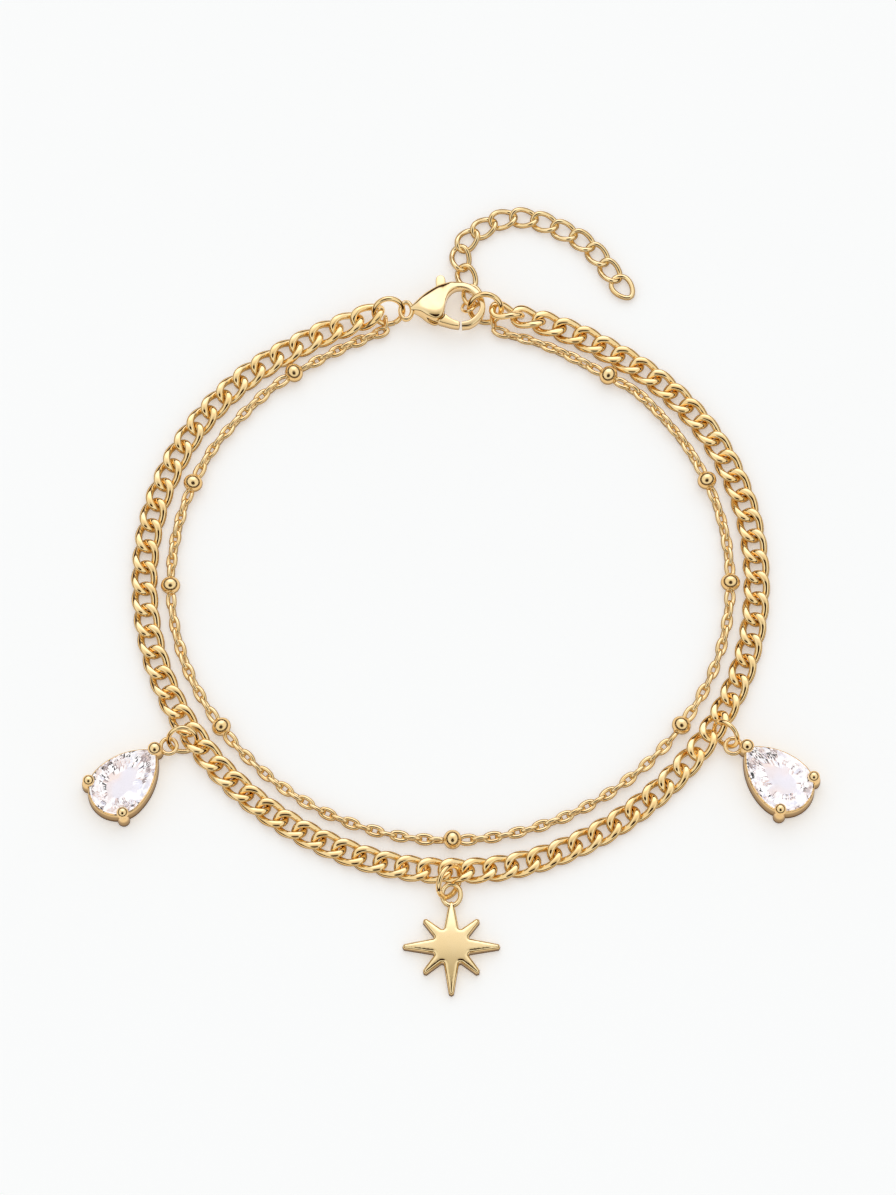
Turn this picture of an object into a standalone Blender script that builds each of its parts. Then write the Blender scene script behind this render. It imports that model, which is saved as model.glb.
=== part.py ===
"""Layered bracelet: a curb strand and a satellite strand on one lobster clasp,
with a star charm, two pear drops and an extender, lying flat.

Every number below is in millimetres or degrees. MM turns millimetres into Blender's metres
where a mesh is made. +X is to the right, +Y towards the clasp, +Z up, and the bracelet lies
on the plane z = 0.
"""
import math

import bmesh
import bpy
from mathutils import Matrix, Vector

MM = 0.001

# Origin: the middle of the lying bracelet's outline, in the frame that the tables use
ORIGIN_X = 0.33
ORIGIN_Y = 0.06

# Curb chain, the outer strand. Its links are ground flat to the height, top and bottom
CURB_WIRE = 0.75
CURB_LINK_LENGTH = 3.75
CURB_LINK_WIDTH = 2.7
CURB_TWIST = 0.40
CURB_HEIGHT = 1.27
CURB_CENTRE_Z = 0.645

# Satellite chain, the inner strand
SATELLITE_CHAIN_DIAMETER = 1.2
SATELLITE_CENTRE_Z = 0.66
BEAD_DIAMETER = 1.95
BEAD_LENGTH = 1.75

# Extender chain
EXTENDER_LINK_WIDTH = 2.1
EXTENDER_HEIGHT = 1.05
EXTENDER_CENTRE_Z = 0.55

# Gap that a chain tube keeps to the link or bead at its end, and points along a tube
CHAIN_GAP = 0.15
TUBE_POINT_SPACING = 2.3

# Sides and steps of round wires, chain tubes and beads
WIRE_SIDES = 8
RING_STEPS = 24
LINK_STEPS = 20
TUBE_BEVEL_STEPS = 2
BEAD_SEGMENTS = 12
BEAD_RINGS = 8

# Edges that turn by more than these angles are shown sharp
WIRE_SHARP_ANGLE = 50.0
STAR_SHARP_ANGLE = 40.0
FLAT_SHARP_ANGLE = 30.0

# Curb strand's middle line, from the left end link round the wrist to the right end link
CURB_ROUTE = (
    # x, y
    (-7.97, 29.58), (-14.17, 27.10), (-20.80, 22.85), (-26.15, 16.67), (-29.45, 8.96),
    (-30.33, 0.54), (-28.80, -7.68), (-25.12, -14.95), (-19.85, -20.76), (-13.61, -24.97),
    (-6.79, -27.64), (0.39, -28.61), (7.59, -27.72), (14.41, -24.99), (20.55, -20.65),
    (25.73, -14.84), (29.37, -7.62), (30.84, 0.54), (29.96, 8.87), (26.71, 16.52),
    (21.37, 22.60), (14.81, 26.85), (10.40, 28.75), (5.66, 29.96),
)

# The curb links that hold a ring: where they lie along the strand, and how the ring lifts them
CURB_CARRIERS = (
    # name, distance along the strand, lift, pitch, roll
    ("curb_link_left_end", 0.17, 0.785, -13.0, 6.0),
    ("curb_link_left_drop", 56.4, 0.365, 1.0, -2.0),
    ("curb_link_star", 86.7, 0.355, 0.0, -7.0),
    ("curb_link_right_drop", 117.5, 0.585, -3.0, -13.0),
    ("curb_link_right_end", 174.75, 0.925, 5.0, 45.0),
)

# Satellite strand's middle line, from the left jump ring round to the right jump ring
SATELLITE_ROUTE = (
    # x, y
    (-6.35, 27.90), (-8.60, 27.00), (-10.93, 26.00), (-15.50, 23.60), (-18.97, 20.94),
    (-23.82, 15.27), (-26.82, 8.23), (-27.71, 0.56), (-26.21, -6.94), (-22.70, -13.47),
    (-17.92, -18.70), (-12.26, -22.49), (-6.05, -24.72), (0.39, -25.40), (6.80, -24.60),
    (12.96, -22.32), (18.56, -18.55), (23.33, -13.37), (26.77, -6.87), (28.20, 0.56),
    (27.38, 8.17), (24.42, 15.15), (19.75, 20.95), (16.35, 23.20), (11.85, 25.70),
    (8.60, 27.05), (6.20, 27.75), (4.80, 28.30),
)
BEAD_DISTANCES = (10.2, 25.9, 37.0, 52.9, 79.6, 106.1, 122.1, 133.2, 148.4)
SATELLITE_END_INSET = 0.2

# Extender's middle line, from its free end to the link beside the clasp
EXTENDER_ROUTE = (
    # x, y
    (16.55, 34.60), (15.17, 36.50), (13.60, 38.03), (11.72, 39.12), (9.69, 40.05),
    (7.45, 40.54), (5.41, 40.32), (3.67, 39.45), (2.04, 38.19), (1.27, 36.60), (1.55, 35.00),
    (1.98, 33.75),
)

# Flat oval links that end the fine chains
OVAL_LINKS = (
    # name, material, x, y, z, heading, pitch, roll, length, width, wire
    ("extender_end_link", "extender", 17.75, 32.95, 0.50, -52.0, 0.0, 0.0, 3.0, 2.3, 0.42),
    ("extender_link_13", "extender", 2.45, 31.95, 0.74, -77.7, 2.7, -4.7, 2.6, 2.1, 0.36),
    ("extender_link_14", "extender", 2.11, 30.62, 1.30, -79.7, 48.0, 16.6, 2.74, 1.82, 0.34),
    ("satellite_end_link_left", "satellite", -6.37, 28.96, 0.66, 90.0, 5.0, 107.0, 1.9, 1.30, 0.30),
    ("satellite_end_link_right", "satellite", 4.59, 29.20, 0.72, 97.0, -1.0, 66.0, 1.9, 1.30, 0.30),
)

# Round jump rings: a ring leans up towards the compass direction of its high side
JUMP_RINGS = (
    # name, x, y, z, outer diameter, wire, lean, high side
    ("jump_ring_left", -6.03, 29.90, 1.74, 3.50, 0.55, 51.0, 98.5),
    ("jump_ring_right", 3.79, 30.23, 1.73, 3.80, 0.58, 49.0, 84.0),
    ("star_jump_ring", 0.11, -29.84, 1.65, 3.72, 0.52, 60.0, 152.0),
    ("drop_left_ring", -26.27, -15.23, 1.32, 3.30, 0.48, 49.6, 90.5),
    ("drop_right_ring", 27.52, -14.71, 1.52, 3.30, 0.48, 63.6, 46.0),
)

# Star charm: the straight arms are longer than the diagonal ones
STAR_X = 0.33
STAR_Y = -36.22
STAR_THICKNESS = 1.4
STAR_EDGE_ROUND = 0.18
STAR_TIP_ROUND = 0.14
STAR_ARMS = (
    # compass direction, reach
    (0.0, 4.82), (45.0, 3.88), (90.0, 4.40), (135.0, 3.88),
    (180.0, 4.82), (225.0, 3.88), (270.0, 4.95), (315.0, 3.88),
)
STAR_NOTCH_REACH = 1.72
STAR_NOTCH_FROM_ARM = 26.5
STAR_EYE_DISTANCE = 4.93
STAR_EYE_DIAMETER = 2.50
STAR_EYE_WIRE = 0.44
STAR_EYE_Z = 0.78

# Pear drops: stone, cup and prongs, in a frame with x from the round end to the tip
DROPS = (
    # side, x, y, heading of the tip, eye x, eye y
    ("left", -32.67, -20.36, 46.0, -27.66, -15.78),
    ("right", 33.31, -20.01, 134.9, 28.25, -15.77),
)
PEAR_ROUND_RADIUS = 2.7
PEAR_TIP_REACH = 5.3
PEAR_ROUND_STEPS = 12
PEAR_SIDE_STEPS = 6
STONE_LOFT = (
    # outline grown by, z
    (-2.35, 0.62), (0.0, 1.85), (0.0, 1.98), (-1.05, 2.74),
)
CUP_LOFT = (
    # outline grown by, z
    (0.22, 0.0), (0.12, 1.78), (-0.42, 1.37), (-0.42, 0.35),
)
PRONG_LOFT = (
    # outward from the stone's edge, z, radius
    (0.20, 0.10, 0.52), (0.28, 1.40, 0.44), (0.38, 1.78, 0.27), (0.36, 2.12, 0.27),
    (0.12, 2.22, 0.30), (0.10, 2.38, 0.44), (0.10, 2.58, 0.48), (0.10, 2.78, 0.44),
    (0.10, 2.96, 0.28), (0.10, 3.03, 0.10),
)
PRONG_DIRECTIONS = (0.0, 123.0, -123.0)
PRONG_SIDES = 10
DROP_EYE_DIAMETER = 2.0
DROP_EYE_WIRE = 0.42
DROP_EYE_Z = 0.90

# Clasp: body and hook as one bar, by the outer and inner end of each section across it
CLASP_MIDDLE_Z = 1.72
CLASP_SECTIONS = (
    # outer x, outer y, inner x, inner y, height
    (-3.80, 30.36, -3.70, 29.84, 1.00),
    (-2.84, 31.28, -2.83, 29.62, 1.62),
    (-2.10, 31.88, -2.05, 29.14, 1.82),
    (-1.32, 32.36, -1.25, 28.88, 1.86),
    (-0.75, 32.62, -0.62, 29.12, 1.84),
    (-0.35, 32.76, -0.36, 29.78, 1.80),
    (0.00, 32.87, -0.26, 30.60, 1.72),
    (0.40, 32.94, 0.05, 31.52, 1.60),
    (0.95, 32.97, 0.75, 32.14, 1.45),
    (1.75, 32.90, 1.60, 32.17, 1.32),
    (2.60, 32.50, 2.28, 31.86, 1.26),
    (3.38, 31.72, 2.86, 31.28, 1.24),
    (3.78, 30.60, 3.20, 30.50, 1.22),
    (3.66, 29.50, 3.10, 29.86, 1.22),
    (3.05, 28.62, 2.66, 29.24, 1.22),
    (2.25, 28.08, 2.04, 28.80, 1.22),
    (1.50, 27.98, 1.44, 28.68, 1.20),
)
CLASP_SMOOTHING = 2
CLASP_SECTION_SIDES = 12
CLASP_SECTION_SQUARENESS = 0.62
CLASP_EYE_X = -4.56
CLASP_EYE_Y = 30.09
CLASP_EYE_DIAMETER = 2.15
CLASP_EYE_WIDTH = 0.36
CLASP_EYE_HEIGHT = 0.80

# Clasp lever: turns on a pin in the body's slot, opens inwards
PIVOT_X = -1.20
PIVOT_Y = 29.75
PIN_RADIUS = 0.20
PIN_LENGTH = 1.0
PIN_SIDES = 12
BORE_TOOL_LENGTH = 2.0
LEVER_BORE_RADIUS = 0.28
LEVER_WEB_THICKNESS = 0.44
LEVER_SLOT_THICKNESS = 0.60
GATE_HEIGHT = 1.22
GATE_EDGE_ROUND = 0.12
PLATE_BEVEL_ANGLE = 60.0
GATE_OUTLINE = (
    # x, y
    (-0.30, 29.42), (-0.42, 29.20), (-0.60, 29.00), (-0.95, 28.83), (-0.98, 28.30), (-0.30, 28.10),
    (0.70, 28.06), (1.08, 28.16), (1.16, 28.40), (1.02, 28.74), (0.25, 28.95),
)
WEB_OUTLINE = (
    # x, y
    (-1.66, 29.40), (-1.78, 29.85), (-1.55, 30.25), (-1.25, 32.30), (-1.25, 33.25), (-1.10, 33.62),
    (-0.76, 33.78), (-0.42, 33.62), (-0.27, 33.25), (-0.30, 32.40), (-0.75, 30.20), (-0.55, 29.60),
    (-0.15, 29.05), (-0.15, 28.45), (-0.80, 28.45), (-1.30, 29.10),
)
SLOT_OUTLINE = (
    # x, y
    (-1.92, 29.30), (-2.02, 29.95), (-1.80, 30.45), (-2.50, 32.20), (-3.00, 33.60), (0.00, 33.60),
    (-0.12, 32.30), (-0.58, 30.25), (0.20, 30.05), (0.20, 28.20), (-1.50, 28.20),
)

# Base colours read from the photo, with roughness and metallic value
FINISHES = {
    "curb": ((0.86, 0.62, 0.25), 0.16, 1.0),
    "satellite": ((0.87, 0.66, 0.30), 0.22, 1.0),
    "extender": ((0.87, 0.66, 0.30), 0.20, 1.0),
    "bead": ((0.88, 0.66, 0.30), 0.18, 1.0),
    "ring": ((0.87, 0.63, 0.26), 0.15, 1.0),
    "clasp": ((0.90, 0.71, 0.36), 0.18, 1.0),
    "lever": ((0.91, 0.73, 0.38), 0.20, 1.0),
    "star": ((0.91, 0.72, 0.36), 0.14, 1.0),
    "setting": ((0.88, 0.66, 0.31), 0.20, 1.0),
    "stone": ((0.95, 0.95, 0.96), 0.02, 0.0),
}


class Route:
    """A smooth flat curve through knots, read by the distance from its start."""

    STEPS = 12

    def __init__(self, knots):
        knots = [Vector(knot) for knot in knots]
        knots = [2 * knots[0] - knots[1]] + knots + [2 * knots[-1] - knots[-2]]
        self.points = []
        for before, start, end, after in zip(knots, knots[1:], knots[2:], knots[3:]):
            for step in range(self.STEPS):
                self.points.append(catmull_rom(before, start, end, after, step / self.STEPS))
        self.points.append(knots[-2])
        self.distances = [0.0]
        for start, end in zip(self.points, self.points[1:]):
            self.distances.append(self.distances[-1] + (end - start).length)
        self.length = self.distances[-1]

    def place(self, distance):
        """The point at a distance along the route, and the heading there in degrees."""
        index = 0
        while index < len(self.points) - 2 and self.distances[index + 1] < distance:
            index += 1
        start, end = self.points[index], self.points[index + 1]
        share = (distance - self.distances[index]) / (end - start).length
        heading = math.degrees(math.atan2(end.y - start.y, end.x - start.x))
        return start.lerp(end, share), heading


def catmull_rom(before, start, end, after, share):
    """A point between start and end on the smooth curve through four points."""
    line = end - start
    leave = (end - before) / 2
    arrive = (after - start) / 2
    return (start + leave * share + (3 * line - 2 * leave - arrive) * share ** 2
            + (leave + arrive - 2 * line) * share ** 3)


def finish_material(name, finish):
    """A Principled material for one sub-part."""
    colour, roughness, metallic = FINISHES[finish]
    made = bpy.data.materials.new(name + "_" + finish)
    made.use_nodes = True
    shader = made.node_tree.nodes["Principled BSDF"]
    shader.inputs["Base Color"].default_value = (*colour, 1.0)
    shader.inputs["Roughness"].default_value = roughness
    shader.inputs["Metallic"].default_value = metallic
    if finish == "stone":
        shader.inputs["Transmission Weight"].default_value = 1.0
        shader.inputs["IOR"].default_value = 2.15
    return made


def place_at(x, y, z, heading=0.0, pitch=0.0, roll=0.0):
    """Where a piece lies: turned to a heading, its far end raised by pitch, rolled on its length."""
    turn = (Matrix.Rotation(math.radians(heading), 4, "Z")
            @ Matrix.Rotation(math.radians(-pitch), 4, "Y")
            @ Matrix.Rotation(math.radians(roll), 4, "X"))
    return Matrix.Translation(((x - ORIGIN_X) * MM, (y - ORIGIN_Y) * MM, z * MM)) @ turn


def add_solid(name, rows, finish, placement, closed=False,
              sharp_angle=WIRE_SHARP_ANGLE):
    """An object skinned over rows of points: a closed loop of rows, or capped at both ends."""
    width = len(rows[0])
    vertices = [Vector(point) * MM for row in rows for point in row]
    faces = []
    joins = len(rows) if closed else len(rows) - 1
    for row in range(joins):
        here = row * width
        there = (row + 1) % len(rows) * width
        for side in range(width):
            step = (side + 1) % width
            faces.append((here + side, here + step, there + step, there + side))
    if not closed:
        faces.append(tuple(range(width)))
        faces.append(tuple(len(vertices) - width + side for side in range(width)))
    mesh = bpy.data.meshes.new(name)
    mesh.from_pydata(vertices, [], faces)
    work = bmesh.new()
    work.from_mesh(mesh)
    bmesh.ops.recalc_face_normals(work, faces=work.faces)
    work.to_mesh(mesh)
    work.free()
    mesh.shade_smooth()
    mesh.set_sharp_from_angle(angle=math.radians(sharp_angle))
    mesh.materials.append(finish_material(name, finish))
    made = bpy.data.objects.new(name, mesh)
    bpy.context.scene.collection.objects.link(made)
    made.matrix_world = placement
    return made


def wire_rows(path_at, steps, sides, half_width, half_height):
    """Rows of points round a closed wire whose middle line is path_at(angle)."""
    rows = []
    for step in range(steps):
        angle = 2 * math.pi * step / steps
        middle = path_at(angle)
        nudge = 0.5 * math.pi / steps
        along = (path_at(angle + nudge) - path_at(angle - nudge)).normalized()
        across = along.cross(Vector((0, 0, 1))).normalized()
        upward = across.cross(along)
        row = []
        for side in range(sides):
            turn = 2 * math.pi * (side + 0.5) / sides
            row.append(middle + across * (half_width * math.cos(turn))
                       + upward * (half_height * math.sin(turn)))
        rows.append(row)
    return rows


def circle_path(radius):
    return lambda angle: Vector((radius * math.cos(angle), radius * math.sin(angle), 0))


def oval_path(length, width, wire, twist=0.0):
    """A link's middle line. A twisted link's four quarters lie high and low in turn."""
    half_length = (length - wire) / 2
    half_width = (width - wire) / 2
    return lambda angle: Vector((half_length * math.cos(angle), half_width * math.sin(angle),
                                 -twist * math.sin(2 * angle)))


def add_ring(name, finish, x, y, z, diameter, wire, lean=0.0, high_side=0.0):
    """A round wire ring. With no lean it lies level."""
    rows = wire_rows(circle_path((diameter - wire) / 2), RING_STEPS, WIRE_SIDES, wire / 2, wire / 2)
    placement = place_at(x, y, z, high_side, lean)
    return add_solid(name, rows, finish, placement, closed=True)


def add_oval_link(name, finish, x, y, z, heading, pitch, roll, length, width, wire):
    rows = wire_rows(oval_path(length, width, wire), LINK_STEPS, WIRE_SIDES, wire / 2, wire / 2)
    placement = place_at(x, y, z, heading, pitch, roll)
    return add_solid(name, rows, finish, placement, closed=True)


def cut_or_join(target, tool, operation):
    """Boolean of target with a tool that isn't itself part of the bracelet."""
    change = target.modifiers.new(tool.name, "BOOLEAN")
    change.operation = operation
    change.solver = "EXACT"
    change.object = tool
    tool.hide_render = True
    tool.display_type = "WIRE"


def add_chain_tube(name, finish, route, start, end, width, height, centre_z):
    """A chain's outer form along a stretch of its route: a tube flattened to the chain's height."""
    flatten = height / width
    count = max(2, round((end - start) / (TUBE_POINT_SPACING * width)) + 1)
    curve = bpy.data.curves.new(name, "CURVE")
    curve.dimensions = "3D"
    curve.bevel_depth = width / 2 * MM
    curve.bevel_resolution = TUBE_BEVEL_STEPS
    curve.use_fill_caps = True
    curve.materials.append(finish_material(name, finish))
    spline = curve.splines.new("POLY")
    spline.points.add(count - 1)
    for index, knot in enumerate(spline.points):
        point, _ = route.place(start + (end - start) * index / (count - 1))
        knot.co = ((point.x - ORIGIN_X) * MM, (point.y - ORIGIN_Y) * MM, centre_z / flatten * MM, 1)
    made = bpy.data.objects.new(name, curve)
    made.scale = (1, 1, flatten)
    bpy.context.scene.collection.objects.link(made)
    return made


def add_curb_strand():
    """The curb strand: twisted links where a ring hangs, tubes along the rest."""
    route = Route(CURB_ROUTE)
    path = oval_path(CURB_LINK_LENGTH, CURB_LINK_WIDTH, CURB_WIRE, CURB_TWIST)
    rows = wire_rows(path, LINK_STEPS, WIRE_SIDES, CURB_WIRE / 2, CURB_WIRE / 2)
    for row in rows:
        for point in row:
            point.z = max(-CURB_HEIGHT / 2, min(CURB_HEIGHT / 2, point.z))
    for name, distance, lift, pitch, roll in CURB_CARRIERS:
        point, heading = route.place(min(distance, route.length))
        placement = place_at(point.x, point.y, CURB_CENTRE_Z + lift, heading, pitch, roll)
        add_solid(name, rows, "curb", placement, closed=True)
    reach = CURB_LINK_LENGTH / 2 + CHAIN_GAP
    for number, (before, after) in enumerate(zip(CURB_CARRIERS, CURB_CARRIERS[1:]), start=1):
        add_chain_tube(f"curb_chain_{number}", "curb", route, before[1] + reach, after[1] - reach,
                       CURB_LINK_WIDTH, CURB_HEIGHT, CURB_CENTRE_Z)


def add_bead(name, route, distance):
    """A ball, a little flattened along the chain that it sits on."""
    point, heading = route.place(distance)
    mesh = bpy.data.meshes.new(name)
    work = bmesh.new()
    bmesh.ops.create_uvsphere(work, u_segments=BEAD_SEGMENTS, v_segments=BEAD_RINGS,
                              radius=BEAD_DIAMETER / 2 * MM)
    bmesh.ops.scale(work, vec=(1, 1, BEAD_LENGTH / BEAD_DIAMETER), verts=work.verts)
    bmesh.ops.rotate(work, matrix=Matrix.Rotation(math.pi / 2, 3, "Y"), verts=work.verts)
    work.to_mesh(mesh)
    work.free()
    mesh.shade_smooth()
    mesh.materials.append(finish_material(name, "bead"))
    made = bpy.data.objects.new(name, mesh)
    bpy.context.scene.collection.objects.link(made)
    made.matrix_world = place_at(point.x, point.y, BEAD_DIAMETER / 2, heading)


def add_satellite_strand():
    """The satellite strand: nine balls and the fine cable chain between them."""
    route = Route(SATELLITE_ROUTE)
    for number, distance in enumerate(BEAD_DISTANCES, start=1):
        add_bead(f"satellite_bead_{number}", route, distance)
    reach = BEAD_LENGTH / 2 + CHAIN_GAP
    starts = (SATELLITE_END_INSET,) + tuple(distance + reach for distance in BEAD_DISTANCES)
    ends = tuple(distance - reach for distance in BEAD_DISTANCES)
    ends += (route.length - SATELLITE_END_INSET,)
    for number, (start, end) in enumerate(zip(starts, ends), start=1):
        add_chain_tube(f"satellite_chain_{number:02d}", "satellite", route, start, end,
                       SATELLITE_CHAIN_DIAMETER, SATELLITE_CHAIN_DIAMETER, SATELLITE_CENTRE_Z)


def add_extender():
    route = Route(EXTENDER_ROUTE)
    add_chain_tube("extender_chain", "extender", route, 0.0, route.length,
                   EXTENDER_LINK_WIDTH, EXTENDER_HEIGHT, EXTENDER_CENTRE_Z)


def star_outline():
    """The star's corners: each arm's tip, and a notch on each side of each long arm."""
    corners = []
    for number, (direction, reach) in enumerate(STAR_ARMS):
        corners.append((direction, reach))
        from_arm = STAR_NOTCH_FROM_ARM if number % 2 == 0 else 45.0 - STAR_NOTCH_FROM_ARM
        corners.append((direction + from_arm, STAR_NOTCH_REACH))
    return [(reach * math.cos(math.radians(turn)), reach * math.sin(math.radians(turn)))
            for turn, reach in corners]


def add_star():
    """The star and its hanging eye, one casting with a flat back."""
    mesh = bpy.data.meshes.new("star_charm")
    work = bmesh.new()
    corners = [work.verts.new((x * MM, y * MM, 0)) for x, y in star_outline()]
    base = work.faces.new(corners)
    lifted = bmesh.ops.extrude_face_region(work, geom=[base])
    top = [item for item in lifted["geom"] if isinstance(item, bmesh.types.BMVert)]
    bmesh.ops.translate(work, verts=top, vec=(0, 0, STAR_THICKNESS * MM))
    bmesh.ops.recalc_face_normals(work, faces=work.faces)
    tips = [edge for edge in work.edges
            if abs(edge.verts[0].co.z - edge.verts[1].co.z) > MM
            and edge.verts[0].co.xy.length > 2 * STAR_NOTCH_REACH * MM]
    bmesh.ops.bevel(work, geom=tips, offset=STAR_TIP_ROUND * MM, segments=2, profile=0.5,
                    affect="EDGES")
    rim = [edge for edge in work.edges
           if min(vert.co.z for vert in edge.verts) > (STAR_THICKNESS - 0.01) * MM]
    bmesh.ops.bevel(work, geom=rim, offset=STAR_EDGE_ROUND * MM, segments=2, profile=0.5,
                    affect="EDGES")
    work.to_mesh(mesh)
    work.free()
    mesh.shade_smooth()
    mesh.set_sharp_from_angle(angle=math.radians(STAR_SHARP_ANGLE))
    mesh.materials.append(finish_material("star_charm", "star"))
    star = bpy.data.objects.new("star_charm", mesh)
    bpy.context.scene.collection.objects.link(star)
    star.matrix_world = place_at(STAR_X, STAR_Y, 0)
    eye = add_ring("star_eye_tool", "star", STAR_X, STAR_Y + STAR_EYE_DISTANCE, STAR_EYE_Z,
                   STAR_EYE_DIAMETER, STAR_EYE_WIRE)
    cut_or_join(star, eye, "UNION")


def pear_outline(grow):
    """The pear's outline grown outwards: a round end on the origin and two arcs to the tip."""
    side_radius = (PEAR_TIP_REACH ** 2 + PEAR_ROUND_RADIUS ** 2) / (2 * PEAR_ROUND_RADIUS)
    drop = side_radius - PEAR_ROUND_RADIUS
    radius = side_radius + grow
    tip_turn = math.acos(min(1.0, drop / radius))
    points = []
    for step in range(PEAR_SIDE_STEPS):
        turn = tip_turn * (1 - step / PEAR_SIDE_STEPS)
        points.append((radius * math.sin(turn), radius * math.cos(turn) - drop))
    for step in range(PEAR_ROUND_STEPS + 1):
        turn = math.pi / 2 + math.pi * step / PEAR_ROUND_STEPS
        end = PEAR_ROUND_RADIUS + grow
        points.append((end * math.cos(turn), end * math.sin(turn)))
    for step in range(1, PEAR_SIDE_STEPS):
        turn = tip_turn * step / PEAR_SIDE_STEPS
        points.append((radius * math.sin(turn), drop - radius * math.cos(turn)))
    return points


def add_pear_loft(name, finish, loft, placement):
    rows = [[(x, y, z) for x, y in pear_outline(grow)] for grow, z in loft]
    return add_solid(name, rows, finish, placement, sharp_angle=FLAT_SHARP_ANGLE)


def prong_rows(direction):
    """One prong: a stout foot on the cup's side, a neck past the stone's edge and a round head."""
    turn = math.radians(direction)
    outward = Vector((math.cos(turn), math.sin(turn), 0))
    edge = outward * (PEAR_TIP_REACH if direction == 0 else PEAR_ROUND_RADIUS)
    rows = []
    for offset, z, radius in PRONG_LOFT:
        middle = edge + outward * offset + Vector((0, 0, z))
        row = []
        for side in range(PRONG_SIDES):
            angle = 2 * math.pi * side / PRONG_SIDES
            row.append(middle + Vector((radius * math.cos(angle), radius * math.sin(angle), 0)))
        rows.append(row)
    return rows


def add_drops():
    """Each drop: the stone, and its cup with prongs and eye as one casting."""
    for side, x, y, heading, eye_x, eye_y in DROPS:
        placement = place_at(x, y, 0, heading)
        add_pear_loft(f"drop_{side}_stone", "stone", STONE_LOFT, placement)
        cup = add_pear_loft(f"drop_{side}_setting", "setting", CUP_LOFT, placement)
        for number, direction in enumerate(PRONG_DIRECTIONS):
            prong = add_solid(f"drop_{side}_prong_tool_{number}", prong_rows(direction), "setting",
                              placement)
            cut_or_join(cup, prong, "UNION")
        eye = add_ring(f"drop_{side}_eye_tool", "setting", eye_x, eye_y, DROP_EYE_Z,
                       DROP_EYE_DIAMETER, DROP_EYE_WIRE)
        cut_or_join(cup, eye, "UNION")


def clasp_rows():
    """Rounded sections along the clasp's bar, smoothed between those of the table."""
    table = [Vector(row) for row in CLASP_SECTIONS]
    table = [2 * table[0] - table[1]] + table + [2 * table[-1] - table[-2]]
    smooth = []
    for before, start, end, after in zip(table, table[1:], table[2:], table[3:]):
        for step in range(CLASP_SMOOTHING):
            smooth.append(catmull_rom(before, start, end, after, step / CLASP_SMOOTHING))
    smooth.append(table[-2])
    rows = []
    for outer_x, outer_y, inner_x, inner_y, height in smooth:
        outer = Vector((outer_x, outer_y, 0))
        inner = Vector((inner_x, inner_y, 0))
        middle = (outer + inner) / 2
        half = (outer - inner) / 2
        row = []
        for side in range(CLASP_SECTION_SIDES):
            turn = 2 * math.pi * (side + 0.5) / CLASP_SECTION_SIDES
            across = squared(math.cos(turn), CLASP_SECTION_SQUARENESS)
            upward = squared(math.sin(turn), CLASP_SECTION_SQUARENESS)
            row.append(middle + half * across + Vector((0, 0, height / 2 * upward)))
        rows.append(row)
    return rows


def squared(value, power):
    """A sine or cosine drawn towards its ends, which makes a round section squarer."""
    return math.copysign(abs(value) ** power, value)


def add_plate(name, finish, outline, thickness, edge_round=0.0):
    """A flat plate of the given outline about the clasp's middle height."""
    half = thickness / 2
    rows = [[(x, y, z) for x, y in outline] for z in (-half, half)]
    plate = add_solid(name, rows, finish, place_at(0, 0, CLASP_MIDDLE_Z), sharp_angle=FLAT_SHARP_ANGLE)
    if edge_round:
        bevel = plate.modifiers.new("rounded edges", "BEVEL")
        bevel.width = edge_round * MM
        bevel.segments = 1
        bevel.limit_method = "ANGLE"
        bevel.angle_limit = math.radians(PLATE_BEVEL_ANGLE)
    return plate


def round_outline(x, y, radius, sides):
    return [(x + radius * math.cos(2 * math.pi * side / sides),
             y + radius * math.sin(2 * math.pi * side / sides)) for side in range(sides)]


def add_clasp():
    """The clasp's body with its eye, slot and pin, and the lever that turns on the pin."""
    body = add_solid("clasp_body", clasp_rows(), "clasp", place_at(0, 0, CLASP_MIDDLE_Z))
    eye_radius = (CLASP_EYE_DIAMETER - CLASP_EYE_WIDTH) / 2
    eye_rows = wire_rows(circle_path(eye_radius), RING_STEPS, WIRE_SIDES,
                         CLASP_EYE_WIDTH / 2, CLASP_EYE_HEIGHT / 2)
    eye = add_solid("clasp_eye_tool", eye_rows, "clasp",
                    place_at(CLASP_EYE_X, CLASP_EYE_Y, CLASP_MIDDLE_Z), closed=True)
    slot = add_plate("clasp_slot_tool", "clasp", SLOT_OUTLINE, LEVER_SLOT_THICKNESS)
    pin = add_plate("clasp_pin_tool", "clasp",
                    round_outline(PIVOT_X, PIVOT_Y, PIN_RADIUS, PIN_SIDES), PIN_LENGTH)
    cut_or_join(body, eye, "UNION")
    cut_or_join(body, slot, "DIFFERENCE")
    cut_or_join(body, pin, "UNION")

    lever = add_plate("clasp_lever", "lever", GATE_OUTLINE, GATE_HEIGHT, GATE_EDGE_ROUND)
    web = add_plate("lever_web_tool", "lever", WEB_OUTLINE, LEVER_WEB_THICKNESS)
    bore = add_plate("lever_bore_tool", "lever",
                     round_outline(PIVOT_X, PIVOT_Y, LEVER_BORE_RADIUS, PIN_SIDES), BORE_TOOL_LENGTH)
    cut_or_join(lever, web, "UNION")
    cut_or_join(lever, bore, "DIFFERENCE")


def main():
    for old in list(bpy.data.objects):
        bpy.data.objects.remove(old)
    add_curb_strand()
    add_satellite_strand()
    add_extender()
    for link in OVAL_LINKS:
        add_oval_link(*link)
    for name, *sizes in JUMP_RINGS:
        add_ring(name, "ring", *sizes)
    add_star()
    add_drops()
    add_clasp()


main()
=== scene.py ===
# %% [markdown]
# # A layered bracelet on a pale table
# Two gold strands close with one lobster clasp: a curb chain outside and a fine cable chain
# with little balls inside. A star hangs at the front, a pear stone on each side, and a short
# extender lies behind the clasp. The CAD frame gives where everything is. This lesson builds
# what a CAD model leaves out: every link of the chains, the cut of the stones, the rounding of
# the castings and the polish of the metal.

import math

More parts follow.
